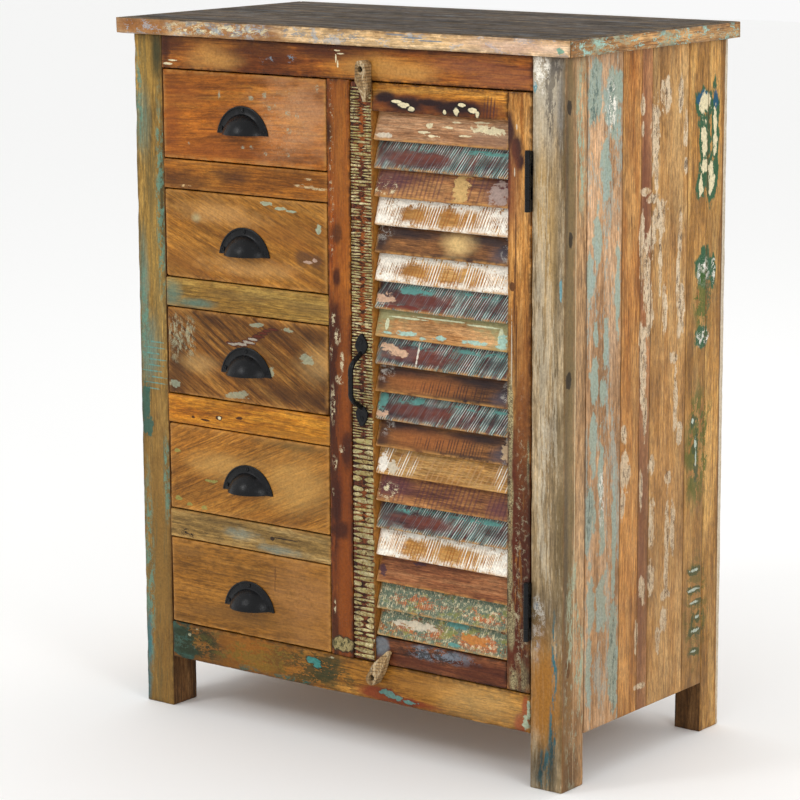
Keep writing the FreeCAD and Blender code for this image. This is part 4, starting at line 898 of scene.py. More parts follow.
def front_left_leg_finish():
    lines = [(455 + 8.3 * step, -336 + 5 * (step % 3), 0.9, 15 + 4 * (step % 2)) for step in range(9)]
    return (Timber("leg_front_left", "front_upright", ("745a2a", "9b7736", "b48e49"), 30.0, 1.4)
            .stain("a8833c", [(905, -340, 36, 14), (650, -325, 60, 16), (240, -325, 90, 14)], 0.75)
            .stain("2f3420", [(925, -316, 32, 9), (720, -312, 60, 4)], 0.85)
            .stain("7d5c2e", [(180, -328, 300, 34)], 0.62)
            .stain("644210", [(150, -330, 190, 36)], 0.4)
            .stain("5f8a80", [(830, -345, 40, 12), (600, -348, 60, 8), (510, -340, 40, 18)], 0.55)
            .patches("5d5434", 60.0, 0.30, 0.07, 0.8, strength=0.5, lift=0.0)
            .patches("5f8674", 120.0, 0.50, 0.5, 0.9, strength=0.8,
                     at=[(720, -314, 130, 8), (560, -348, 70, 9), (180, -350, 140, 9), (330, -312, 60, 6),
                         (860, -350, 60, 6)])
            .mark("teal", lines, 1.0, 220.0, 0.7)
            .mark("deep_teal", [(430, -350, 34, 8), (400, -346, 12, 12)], 0.6, 130.0, 0.85)
            .stain("2f6f78", [(30, -356, 34, 5), (90, -352, 40, 5)], 0.8)
            .done("4a3416", 0.6))


def front_right_leg_finish():
    return (Timber("leg_front_right", "front_upright", ("816b4a", "ae946e", "d1ba96"), 26.0, 1.2)
            .stain("b4ab98", [(905, 330, 48, 26), (850, 322, 40, 14)], 0.8)
            .stain("6b6a68", [(940, 345, 14, 16), (880, 350, 50, 5)], 0.6)
            .stain("c09a5c", [(780, 322, 70, 10), (700, 335, 90, 10), (110, 330, 80, 18)], 0.6)
            .stain("5a4a2e", [(640, 345, 110, 7), (560, 325, 60, 8), (300, 352, 170, 5),
                              (470, 348, 60, 8)], 0.65)
            .patches("dust", 40.0, 0.36, 0.2, 0.7, strength=0.6, at=[(380, 330, 110, 16)])
            .stain("73603e", [(120, 332, 240, 40), (300, 346, 200, 8)], 0.55)
            .patches("443a2c", 60.0, 0.30, 0.07, 0.8, strength=0.38, lift=0.0)
            .patches("d9cdb4", 70.0, 0.30, 0.07, 0.8, strength=0.32, shift=3.0)
            .patches("3a3330", 34.0, 0.40, 0.3, 0.8, strength=0.6, lift=0.0, shift=8.0,
                     at=[(900, 345, 60, 22)])
            .mark("6f9aa0", [(909, 312, 7, 3), (660, 352, 14, 2)], 0.5, 200.0)
            .patches("white", 110.0, 0.44, 0.7, 0.9, at=[(218, 320, 34, 10), (930, 320, 30, 12)])
            .patches("sky", 70.0, 0.36, 0.6, 0.8, shift=4.0, at=[(215, 316, 40, 8)])
            .stain("98621a", [(132, 328, 74, 30)], 0.85, 0.6)
            .stain("4a3a28", [(236, 326, 34, 22)], 0.5)
            .patches("3d6a70", 110.0, 0.50, 0.16, 0.8,
                     at=[(165, 345, 60, 4), (70, 344, 50, 6), (30, 330, 26, 12)])
            .stain("24241f", [(28, 322, 30, 14), (40, 342, 44, 7)], 0.7)
            .stain("6e5c38", [(480, 357.5, 480, 3)], 0.4)
            .done("5a4426", 0.5))


# Old green paint at the back edge of the right side, over the leg and the plank beside it
HIGH_GREEN = [(866, 150, 19, 25), (822, 150, 40, 16), (832, 176, 54, 10), (762, 168, 34, 15),
              (757, 142, 17, 12), (782, 150, 14, 14)]
MIDDLE_GREEN = [(645, 152, 26, 20), (640, 176, 22, 7), (553, 148, 16, 17)]
LOW_GREEN = [(232, 140, 7, 16), (206, 139, 6, 18), (187, 141, 5, 14), (166, 145, 7, 11), (147, 143, 6, 16),
             (118, 140, 5, 15), (405, 137, 22, 7), (440, 131, 8, 8), (372, 138, 14, 6)]
LOW_WHITE = [(233, 138, 2, 9), (206, 137, 2, 11), (188, 140, 1.6, 8), (166, 146, 2, 6), (148, 142, 2, 10),
             (119, 139, 1.4, 8), (408, 137, 9, 2.4), (388, 138, 10, 1.6), (441, 130, 3, 3)]


def high_green_paint(wood):
    """The green patches near the top, with blue and cream over them."""
    return (wood.mark("deep_green", HIGH_GREEN + MIDDLE_GREEN, 0.5, 90.0)
            .mark("navy", [(872, 146, 10, 16), (868, 176, 14, 6)], 0.5, 90.0, 0.9)
            .mark("cream", [(a, b, c * 0.62, d * 0.45) for a, b, c, d in HIGH_GREEN], 0.95, 120.0))


def low_green_paint(wood):
    """The row of green marks near the foot, with white in them."""
    return (wood.mark("24492c", LOW_GREEN, 0.95, 120.0, 0.9)
            .mark("c8d6c6", LOW_WHITE, 0.95, 230.0, 0.85))


def shaded_leg_inner_finish():
    """The sides of the legs that look under the cabinet, in darker shades that paint the shade there."""
    return Timber("leg_inner_shaded", "side_upright", ("4a3018", "6c4a28", "84603a"), 34.0).done("3a2412", 0.3)


def right_leg_side_finish():
    knots = [(885, -168, 9, 5), (720, -163, 10, 5), (540, -166, 12, 6), (165, -165, 12, 5)]
    return (Timber("leg_right_side", "side_upright", ("8a6640", "b0885c", "c49e74"), 34.0, 1.2)
            .stain("6e5c38", [(480, -166, 520, 13)], 0.85, 0.4)
            .stain("453a2a", [(800, -173, 120, 4), (300, -171, 200, 5), (30, -160, 40, 16)], 0.7)
            .mark("211a12", knots, 0.4, 160.0, 0.85)
            .mark("cbb894", [(480, -151.5, 520, 0.9)], 0.2, 60.0, 0.7)
            .patches("sage", 60.0, 0.30, 0.2, 0.8, at=[(850, -140, 90, 12), (150, -150, 140, 20)])
            .stain("855018", [(110, -168, 110, 24)], 0.4)
            .done("6b4a2a", 0.5))


def back_leg_finish():
    wood = high_green_paint(Timber("leg_back", "side_upright", ("8c6028", "b07e3d", "c79a58"), 28.0, 1.2))
    (wood.patches("deep_green", 60.0, 0.42, 0.6, 0.8, at=[(600, 160, 40, 20)], strength=0.7)
     .patches("white", 150.0, 0.40, 0.9, 0.9, at=[(640, 150, 20, 14), (553, 150, 12, 14), (640, 176, 16, 5)])
     .patches("3d5a1e", 44.0, 0.62, 0.6, 0.8, strength=0.8, at=[(400, 145, 78, 32)])
     .patches("3f5220", 60.0, 0.44, 1.6, 0.8, strength=0.6, shift=3.0, at=[(180, 142, 76, 28)]))
    return (low_green_paint(wood)
            .stain("5f3f1c", [(480, 195.5, 480, 1.6)], 0.8, 0.4)
            .mark("dust", [(480, 202, 520, 5)], 0.12, 60.0, 0.85)
            .done("6b4a26", 0.4))


# Flakes on the planks of the right side
SIDE_SAGE = [(897, -113, 44, 15), (890, -70, 46, 19), (800, -84, 42, 11), (715, -104, 36, 10),
             (665, -118, 34, 9), (650, -56, 60, 6), (585, -82, 30, 6), (535, -108, 30, 9),
             (512, -86, 16, 10), (450, -110, 40, 8), (410, -92, 50, 6), (355, -118, 40, 13),
             (335, -88, 30, 6), (300, -60, 90, 5), (245, -112, 46, 9), (235, -88, 44, 13),
             (150, -60, 84, 10), (150, -117, 40, 7), (590, -106, 20, 5)]
SIDE_CREAM = [(873, -1, 12, 5), (845, 0, 8, 3), (885, 55, 20, 13), (832, 30, 48, 10), (790, 33, 26, 5),
              (763, 8, 5, 13), (752, 26, 7, 12), (727, 44, 20, 12), (708, 26, 26, 8), (690, 0, 46, 6),
              (655, 12, 44, 9), (600, 20, 40, 7), (575, 0, 16, 6), (530, 6, 56, 8), (470, 11, 30, 4),
              (660, 44, 40, 4), (605, 56, 28, 6), (880, 90, 24, 6), (835, 103, 22, 5), (788, 105, 10, 5),
              (700, 92, 30, 4), (640, 88, 50, 4), (600, 98, 30, 8), (568, 92, 12, 6), (535, 80, 9, 9),
              (478, 85, 40, 5), (430, 96, 14, 7), (400, -35, 22, 11), (358, -40, 20, 5), (372, 3, 26, 4),
              (318, 30, 36, 7), (242, 30, 26, 8), (232, 9, 16, 7), (280, 68, 66, 5), (305, 82, 34, 6),
              (214, 66, 8, 10), (182, 62, 16, 9), (157, 48, 18, 5), (172, -5, 20, 4), (102, 8, 4, 14),
              (450, -38, 12, 8), (398, 28, 12, 7), (374, 68, 8, 9)]
# Shades of each side plank from the front, and where it begins and ends in millimetres
SIDE_TIMBER = ((("9b7148", "bd9166", "cda782"), (-127, -47)), (("95591f", "bb7f3e", "d09a58"), (-47, -3)),
               (("7c4a28", "a06a40", "bd8656"), (-3, 22)), (("92642f", "b38247", "c59b62"), (22, 109)),
               (("8c6028", "b07e3d", "c79a58"), (109, 158)))


def side_plank_finish(index, near_photo=True):
    """Upright side planks; the side in the photograph has its own flakes of paint."""
    shades, (low, high) = SIDE_TIMBER[index]
    wood = Timber("side_plank_%d_%s" % (index + 1, "right" if near_photo else "left"), "side_upright",
                  shades, 30.0 + 2 * index, 1.0, shift=index * 2.3 + (0.0 if near_photo else 5.0))
    flakes = [spot for spot in SIDE_CREAM if low - 14 < spot[1] < high + 14]
    if not near_photo:
        wood.patches("sage" if index in (0, 3) else "cream", 30.0, 0.30, 0.2, 0.8, border="dust")
        wood.patches("deep_green" if index == 4 else "slate", 46.0, 0.16, 0.2, 0.9, shift=4.0, strength=0.7)
    elif index == 0:
        (wood.mark("side_sage", SIDE_SAGE, 0.75, 80.0, 0.85)
         .patches("5d6f66", 120.0, 0.40, 0.3, 0.8,
                  at=[(897, -113, 40, 10), (880, -74, 34, 14), (355, -118, 40, 8), (150, -60, 80, 7)])
         .patches("white", 170.0, 0.36, 0.5, 0.9, at=[(880, -74, 30, 13), (375, -90, 40, 6)])
         .patches("98a8a0", 60.0, 0.28, 0.22, 0.8, shift=6.0, strength=0.6))
    elif index == 4:
        (high_green_paint(wood)
         .patches("white", 150.0, 0.40, 0.9, 0.9, at=[(640, 150, 20, 14), (553, 150, 12, 14)])
         .patches("3d5a1e", 44.0, 0.64, 0.6, 0.8, strength=0.8, at=[(400, 140, 78, 28), (600, 150, 40, 20)])
         .patches("3f5220", 60.0, 0.46, 1.6, 0.8, strength=0.6, shift=3.0, at=[(180, 140, 76, 26)]))
        low_green_paint(wood)
    else:
        if index == 2:
            wood.stain("6d3a22", [(760, 8, 130, 12), (280, 4, 200, 8)], 0.7)
        wood.mark("side_cream", flakes, 0.72, 95.0, 0.9)
        wood.patches("b08a5c", 120.0, 0.30, 0.25, 0.9, at=flakes, strength=0.85, shift=2.0)
        wood.patches("4a3524", 190.0, 0.30, 0.4, 0.9, at=flakes, strength=0.8)
    wood.stain("7a5a36", [(200, (low + high) / 2, 260, 70)], 0.28, 0.8)
    return wood.stain("4f331a", [(500, low, 460, 1.2)], 0.6, 0.5).done("7a5428", 0.4)


# Shades and lean of the figure in degrees of each drawer front, from the top
DRAWER_TIMBER = ((("8b4c13", "a15c19", "af7027"), 3.0), (("835018", "97621f", "a7732f"), -22.0),
                 (("58330e", "7e4f1a", "9a6a2d"), -30.0), (("87551a", "9b6421", "ab752e"), 24.0),
                 (("794e15", "8c5b1c", "9a6827"), 0.0))


def drawer_finish(number):
    """The front of a drawer, by its number from the top."""
    place = number - 1
    shades, lean = DRAWER_TIMBER[place]
    wood = Timber("drawer_front_%d" % number, "front_across", shades, 16.0 + 2 * place, 2.2,
                  gloss=0.34, shift=place * 3.1, lean=lean)
    if number == 1:
        specks = [(-126, 875, 4, 4), (-150, 870, 5, 3), (-86, 853, 4, 3), (-84, 830, 5, 4),
                  (-150, 804, 4, 3), (-165, 803, 3, 2), (-125, 797, 3, 3), (-86, 798, 3, 3),
                  (-260, 803, 3, 2), (-205, 872, 2, 5), (-70, 851, 3, 4), (-118, 858, 3, 3),
                  (-108, 863, 2, 2), (-36, 888, 3, 5)]
        (wood.stain("7c3f17", [(-270, 868, 40, 14), (-200, 795, 70, 10), (-290, 830, 14, 50)], 0.55)
         .stain("b98c66", [(-60, 850, 64, 56)], 0.55, 0.95, 0.9, 26.0)
         .patches("98a690", 330.0, 0.46, 0.9, 0.9, strength=0.7, at=specks)
         .patches("b0a484", 420.0, 0.14, 0.9, 0.9, shift=3.0, strength=0.4, at=[(-95, 840, 45, 50)]))
    elif number == 2:
        (wood.stain("5a3a22", [(-62, 662, 16, 9), (-40, 660, 9, 8)], 0.8, 0.5)
         .mark("b89a86", [(-54, 657, 8, 2.5), (-43, 660, 4, 2.5)], 0.7, 180.0, 0.8)
         .stain("7f5020", [(-90, 690, 60, 14), (-270, 640, 40, 20)], 0.5)
         .stain("c4955a", [(-200, 710, 60, 12), (-150, 640, 60, 10)], 0.5, 0.95, 0.8, 40.0)
         .stain("a89a70", [(-250, 702, 8, 6)], 0.8)
         .mark("sage", [(-125, 730, 9, 2.5), (-100, 725, 10, 2), (-84, 723, 8, 1.5), (-35, 702, 4, 7)],
               0.8, 200.0, 0.85))
    elif number == 3:
        split = [(-188, 533, 11, 1.6), (-174, 534, 11, 2.0), (-161, 538, 10, 2.0), (-151, 543, 8, 1.8)]
        split_end = [(-142, 548, 8, 1.6), (-134, 553, 7, 1.4), (-126, 557, 7, 1.2), (-116, 560, 7, 1.0)]
        (wood.strokes("2c1b0e", -34.0, 10.0, 0.34, 0.45, strength=0.55,
                      at=[(-230, 540, 90, 34), (-60, 556, 60, 20)])
         .stain("3a2210", [(-60, 556, 60, 12), (-290, 500, 22, 40), (-90, 470, 60, 12)], 0.6)
         .stain("b5915a", [(-40, 520, 30, 20), (-250, 500, 30, 12)], 0.5)
         .mark("5a2412", split_end, 0.5, 170.0, 0.9, "3a180c")
         .mark("9c9182", split, 0.6, 200.0, 1.0, "4a1c10")
         .patches("a9a888", 110.0, 0.40, 2.4, 0.9, strength=0.65,
                  at=[(-290, 535, 14, 30), (-266, 535, 10, 28)])
         .mark("sage", [(-143, 563, 12, 3), (-94, 562, 9, 4), (-56, 526, 12, 6), (-120, 500, 5, 7),
                        (-184, 461, 16, 5), (-294, 466, 10, 5), (-170, 466, 8, 3)], 0.95, 130.0, 0.6))
    elif number == 4:
        (wood.stain("c59a55", [(-80, 350, 50, 34), (-210, 360, 60, 16)], 0.5)
         .mark("8a8a48", [(-291, 304, 5, 3), (-272, 298, 5, 2.5), (-245, 297, 5, 3), (-292, 372, 6, 3),
                          (-232, 336, 10, 2.5)], 0.8, 180.0, 0.75)
         .stain("5d4a26", [(-80, 404, 60, 6), (-130, 334, 3, 3)], 0.6))
    else:
        (wood.stain("b27e4a", [(-66, 190, 50, 60)], 0.45, 0.95, 0.8, 30.0)
         .stain("7d5626", [(-190, 150, 100, 12), (-280, 230, 30, 8)], 0.55)
         .mark("5c3a1c", [(-118, 222, 1.6, 12), (-119, 204, 1.4, 9), (-258, 237, 9, 1.2)], 1.0, 150.0, 0.55)
         .patches("7d5626", 60.0, 0.34, 0.5, 0.8, strength=0.45, at=[(-70, 205, 30, 30)]))
    return wood.done("c08a48", 0.55)


def door_left_stile_finish():
    return (Timber("door_stile_left", "front_upright", ("381610", "65301a", "8a4a22"), 60.0, 2.0, gloss=0.35)
            .stain("a5581c", [(840, 38, 40, 8), (700, 40, 50, 7), (600, 38, 40, 8), (330, 38, 30, 12)], 0.6)
            .patches("1e0f08", 120.0, 0.46, 2.4, 0.7, strength=0.9, shift=3.0)
            .stain("a8702f", [(510, 54.5, 420, 2.2)], 0.9, 0.3)
            .done("1a0d07", 0.5))


def crust_finish():
    return (Timber("paint_crust", "front_across", ("a8935a", "c7b684", "d9cca0"), 160.0, 1.0, gloss=0.5)
            .patches("olive", 90.0, 0.38, 1.0, 0.8, strength=0.5)
            .patches("8a6f3c", 150.0, 0.36, 1.6, 0.9, shift=3.0, strength=0.8)
            .patches("4a2c18", 200.0, 0.24, 1.0, 0.9, shift=8.0, strength=0.9)
            .done("6b5230", 0.7))


def door_right_stile_finish():
    crackled = [(480, 275, 64, 4), (375, 275, 56, 5), (285, 275, 46, 4), (215, 277, 34, 6),
                (145, 290, 24, 15), (430, 303, 30, 2)]
    return (Timber("door_stile_right", "front_upright", ("8f5722", "b47c3c", "cc9a5c"), 30.0, 1.4,
                   gloss=0.28)
            .stain("2d141a", [(850, 273, 22, 8), (830, 284, 18, 9), (815, 290, 12, 7), (800, 271, 50, 4)],
                   0.95, 0.45)
            .stain("3c1a0c", [(310, 290, 215, 22)], 0.85, 0.5)
            .stain("7a3d22", [(775, 276, 50, 12)], 0.75)
            .stain("5c2210", [(280, 286, 190, 26), (450, 272, 60, 8)], 0.92, 0.4)
            .stain("a5622a", [(480, 296, 110, 10)], 0.6)
            .mark("43200f", [(700, 283, 60, 0.9), (640, 281, 50, 0.8), (575, 284, 60, 1.0),
                             (655, 278, 6, 5)], 0.25, 120.0, 0.85)
            .mark("dust", [(560, 277, 60, 0.9), (800, 281, 6, 0.9), (858, 284, 4, 1.2)], 0.4, 200.0, 0.85)
            .patches("b5a87c", 120.0, 0.82, 0.4, 0.9, at=crackled)
            .crackle("2c150b", 300.0, 0.12, 0.9, at=crackled)
            .patches("6a2c12", 60.0, 0.42, 0.12, 0.8, shift=6.0, at=[(260, 292, 180, 12)], strength=0.7)
            .patches("b9762c", 50.0, 0.26, 0.10, 0.8, shift=7.0, at=[(330, 290, 230, 12)], strength=0.7)
            .patches("cream", 160.0, 0.20, 0.8, 0.9, shift=4.0, at=[(300, 294, 170, 10)])
            .stain("2a1208", [(280, 298, 220, 11)], 0.55)
            .stain("3a1a0a", [(290, 284, 215, 32)], 0.32)
            .done("2a1409", 0.8))


def door_top_rail_finish():
    burnt = [(110, 876, 34, 9), (190, 876, 46, 9), (150, 880, 30, 5), (75, 884, 18, 8)]
    flakes = [(95, 879, 9, 2), (108, 875, 10, 3.4), (118, 871, 5, 3), (172, 870, 2.5, 3), (190, 872, 4, 5),
              (200, 880, 6, 2.4), (216, 874, 6, 3.4), (223, 869, 3, 4)]
    return (Timber("door_rail_top", "front_across", ("8a5014", "b47426", "c98f3f"), 30.0, 1.4, gloss=0.28)
            .stain("6a2f14", [(120, 872, 90, 16), (210, 872, 60, 14)], 0.85, 0.5)
            .stain("1c0f14", burnt, 0.95, 0.5)
            .mark("cream", flakes, 0.5, 150.0, 1.0, "18100c")
            .strokes("3a2026", 86.0, 5.0, 0.40, 0.6, strength=0.7, at=[(245, 878, 14, 14)])
            .done("2a1409", 0.8))


def door_bottom_rail_finish():
    return (Timber("door_rail_bottom", "front_across", ("3c1c10", "6b3a20", "8a5230"), 30.0, 1.4)
            .stain("6d757a", [(64, 150, 14, 16)], 0.85, 0.25)
            .patches("slate", 80.0, 0.50, 0.6, 0.8, strength=0.9, at=[(140, 152, 30, 10), (185, 153, 32, 9)])
            .patches("2c2420", 90.0, 0.42, 0.5, 0.8, shift=5.0, strength=0.8, at=[(150, 150, 60, 10)])
            .stain("4a2012", [(240, 140, 60, 14), (120, 135, 60, 6)], 0.7)
            .done("1c0f09", 0.8))


# The slats from top to bottom, each by the kind of old board that it was cut from
SLAT_KINDS = ("tan", "plum", "mauve", "chalk", "smoke", "chalk", "plum", "olive", "plum", "smoke",
              "plum", "smoke", "honey", "mauve", "plum", "chalk", "russet", "sage", "sage")
SLAT_SHADES = {
    "tan": ("885a36", "aa7a52", "c09a74"), "plum": ("371f22", "573430", "74483a"),
    "mauve": ("693e2a", "9c6539", "be8650"), "chalk": ("9c6428", "bb8440", "d0a468"),
    "smoke": ("4a2c18", "754a24", "946234"), "olive": ("99632e", "b8824c", "c99a66"),
    "russet": ("643620", "85512f", "9d6c46"), "sage": ("7c4220", "a2622e", "b98450"),
    "honey": ("9a672e", "c0904f", "d2aa6c"),
}
# Flakes and stains that only one slat has, by its number from the top, placed from its middle
SLAT_SPOTS = {
    1: [("cream", [(-22, 4, 5, 3), (-30, -5, 9, 1.5), (-12, -9, 10, 1.5), (8, 3, 8, 1.2), (66, 4, 16, 5),
                   (84, 2, 14, 4), (60, 12, 12, 1.2), (40, -6, 9, 1.2), (20, 10, 6, 1)]),
        ("dust", [(-92, -12, 14, 3)])],
    3: [("c8a468", [(30, 0, 12, 17)]), ("a08a80", [(90, -4, 14, 14)])],
    7: [("teal", [(-58, 8, 12, 4)]), ("c9a488", [(-94, -6, 14, 7)]), ("6a2a20", [(-60, -14, 40, 3)])],
    8: [("aqua", [(-56, -11, 15, 3), (-2, -12, 10, 3), (54, -12, 18, 2.6), (96, -8, 8, 8),
                  (-88, -13, 9, 1.6), (-28, -15, 5, 2)])],
    9: [("d0ab8c", [(-88, 4, 12, 5), (-76, -1, 14, 4), (-62, -4, 8, 3)]), ("e0d8c8", [(-40, 0, 1.4, 16)])],
    11: [("teal", [(-100, 6, 9, 10)]), ("c9a488", [(-98, -12, 10, 4)])],
    12: [("b59a78", [(102, -2, 8, 12)])],
    13: [("white", [(-96, -4, 8, 12)]), ("dust", [(-80, -8, 8, 8)])],
    17: [("4a3038", [(-100, -2, 6, 6), (-40, 12, 8, 2)])],
    19: [("teal", [(20, 12, 16, 5), (20, -13, 9, 3)]), ("dust", [(-45, 2, 34, 5)]),
         ("c07a38", [(50, -2, 22, 6)])],
}
# How far the row of slats reaches past so many pitches, and where a slat's middle lies in its pitch
SLATS_OVER, SLAT_MIDDLE = 0.187, 0.56


def slat_finish(number):
    """A slat of the door, by its number from the top."""
    kind = SLAT_KINDS[number - 1]
    low, high = [corner * 1000 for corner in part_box("door_slats")]
    slats = len(SLAT_KINDS)
    pitch = (high.z - low.z) / (slats + SLATS_OVER)
    middle = ((low.x + high.x) / 2, low.z + pitch * (slats - number + SLAT_MIDDLE))
    wood = Timber("slat_%d" % number, "front_across", SLAT_SHADES[kind], 44.0, 1.2, gloss=0.36,
                  shift=number * 1.9, origin=middle)
    if kind == "tan":
        wood.stain("8c6a54", [(80, -8, 40, 12)], 0.5)
    elif kind == "plum":
        (wood.stain("6e3020", [(-10, -2, 60, 7)], 0.6)
         .strokes("5f666c", 62.0, 2.8, 0.26, 0.36, strength=0.8)
         .strokes("teal", 62.0, 3.2, 0.30, 0.50, shift=number * 0.3, off=[(-40, -4, 56, 11)])
         .strokes("c3cfc8", 62.0, 3.4, 0.24, 0.44, shift=2.0, off=[(-46, -3, 56, 12)])
         .patches("teal", 70.0, 0.40, 0.6, 0.8, at=[(-48, 9, 30, 5), (60, 10, 44, 3)])
         .stain("2c171a", [(-98, 8, 16, 10), (80, -2, 24, 6)], 0.6))
    elif kind == "mauve":
        (wood.stain("58303a", [(-85, 4, 34, 14), (95, -6, 20, 14)], 0.7)
         .strokes("4e2a34", 80.0, 7.0, 0.40, 0.55, strength=0.5)
         .patches("cream", 190.0, 0.22, 0.6, 0.9, at=[(-95, -6, 24, 12)]))
    elif kind == "chalk":
        (wood.stain("c99650", [(-20, -4, 30, 10), (40, -2, 26, 10)], 0.5)
         .patches("white", 60.0, 0.62, 1.2, 0.7, off=[(0, -2, 92, 12)])
         .strokes("white", 80.0, 4.2, 0.42, 0.60, shift=number * 0.2,
                  off=[(-48, -4, 22, 12), (12, -4, 18, 12)])
         .strokes("fff8e8", 76.0, 2.4, 0.36, 0.50, at=[(-92, -2, 26, 22), (92, -2, 30, 22)])
         .strokes("9a5c22", 78.0, 5.0, 0.24, 0.50, shift=4.0, at=[(0, -6, 80, 12)]))
    elif kind == "smoke":
        (wood.stain("241618", [(-60, 9, 64, 7), (60, 9, 64, 6), (-98, -2, 12, 16), (98, 2, 10, 14),
                               (40, -16, 60, 3)], 0.92)
         .stain("4a4650", [(96, -8, 16, 10)], 0.6)
         .patches("9a948c", 120.0, 0.34, 0.7, 0.9, at=[(-96, 8, 14, 12), (102, 0, 8, 16)], strength=0.9))
        if number == 5:
            wood.stain("d9b678", [(26, 2, 22, 12)], 0.9, 0.8)
        else:
            wood.stain("96582a", [(-25, -3, 58, 10)], 0.8)
            wood.strokes("2c1c20", 84.0, 4.5, 0.36, 0.5, strength=0.7, at=[(20, -6, 60, 10)])
    elif kind == "olive":
        (wood.patches("989266", 30.0, 0.98, 0.8, 0.3, off=[(-4, -8, 94, 19)])
         .mark("cfd4b0", [(-90, -2, 3, 8), (-60, 8, 30, 1.2), (0, 11, 44, 1.0), (60, 9, 26, 1.2),
                          (92, 0, 4, 8)], 0.5, 150.0, 0.9))
    elif kind == "sage":
        (wood.patches("66735f", 50.0, 0.80, 0.7, 0.7)
         .patches("b0643a", 56.0, 0.42, 0.7, 0.8, shift=4.0, at=[(-40, -2, 44, 9), (66, -4, 40, 10)])
         .patches("cream", 190.0, 0.30, 1.2, 0.9, shift=2.0, strength=0.85)
         .strokes("45554c", 84.0, 3.4, 0.36, 0.5, strength=0.6, off=[(60, -2, 36, 10)])
         .patches("8a8a3c", 60.0, 0.20, 0.6, 0.8, shift=7.0, strength=0.6))
    elif kind == "honey":
        (wood.strokes("white", 72.0, 4.0, 0.36, 0.5, at=[(-80, 0, 34, 22), (98, 0, 12, 22)])
         .strokes("b0875a", 70.0, 8.0, 0.3, 0.5, strength=0.6, shift=3.0))
    for colour, spots in SLAT_SPOTS.get(number, ()):
        wood.mark(colour, spots, 0.85, 190.0, 0.92)
    return wood.done("c08c4c", 0.85)


def latch_finish():
    return (Timber("turn_latch", "front_upright", ("6e5438", "98794f", "b59a72"), 90.0, 1.4, gloss=0.5)
            .strokes("33241a", 84.0, 4.0, 0.26, 0.42, strength=0.6)
            .patches("c9b592", 70.0, 0.34, 0.4, 0.6, strength=0.6)
            .done("c9b592", 0.5))


SAWN_SHADES = ("7a5632", "a67c4c", "c09a68")
# The maker of each finish, by its name
FINISHES = {
    "iron": iron_material,
    "top_planks": top_plank_finish,
    "edging": edging_finish,
    "edging_side": edging_side_finish,
    "top_rail": top_rail_finish,
    "bottom_rail": bottom_rail_finish,
    "centre_post": centre_post_finish,
    "leg_front_left": front_left_leg_finish,
    "leg_front_right": front_right_leg_finish,
    "leg_right_side": right_leg_side_finish,
    "leg_inner_shaded": shaded_leg_inner_finish,
    "leg_back": back_leg_finish,
    "stile_left": door_left_stile_finish,
    "stile_right": door_right_stile_finish,
    "rail_top": door_top_rail_finish,
    "rail_bottom": door_bottom_rail_finish,
    "crust": crust_finish,
    "latch": latch_finish,
    "inner_across": partial(plain_timber, "inner_across", "flat_across", SAWN_SHADES),
    "inner_deep": partial(plain_timber, "inner_deep", "flat_deep", SAWN_SHADES),
    "inner_upright": partial(plain_timber, "inner_upright", "front_upright", ("74502c", "9c7446", "b89262")),
    "back_board": partial(plain_timber, "back_board", "front_upright", ("7a5a34", "957246", "a9855a"),
                          figure=44.0),
}
for place in range(len(RAIL_TIMBER)):
    FINISHES["drawer_rail_%d" % place] = partial(drawer_rail_finish, place)
for place in range(len(SIDE_TIMBER)):
    FINISHES["side_plank_right_%d" % place] = partial(side_plank_finish, place)
    FINISHES["side_plank_left_%d" % place] = partial(side_plank_finish, place, near_photo=False)
for drawer in DRAWERS:
    FINISHES["drawer_%d" % drawer] = partial(drawer_finish, drawer)
for slat in range(1, len(SLAT_KINDS) + 1):
    FINISHES["slat_%d" % slat] = partial(slat_finish, slat)


# Operators, one for each piece or group of like pieces

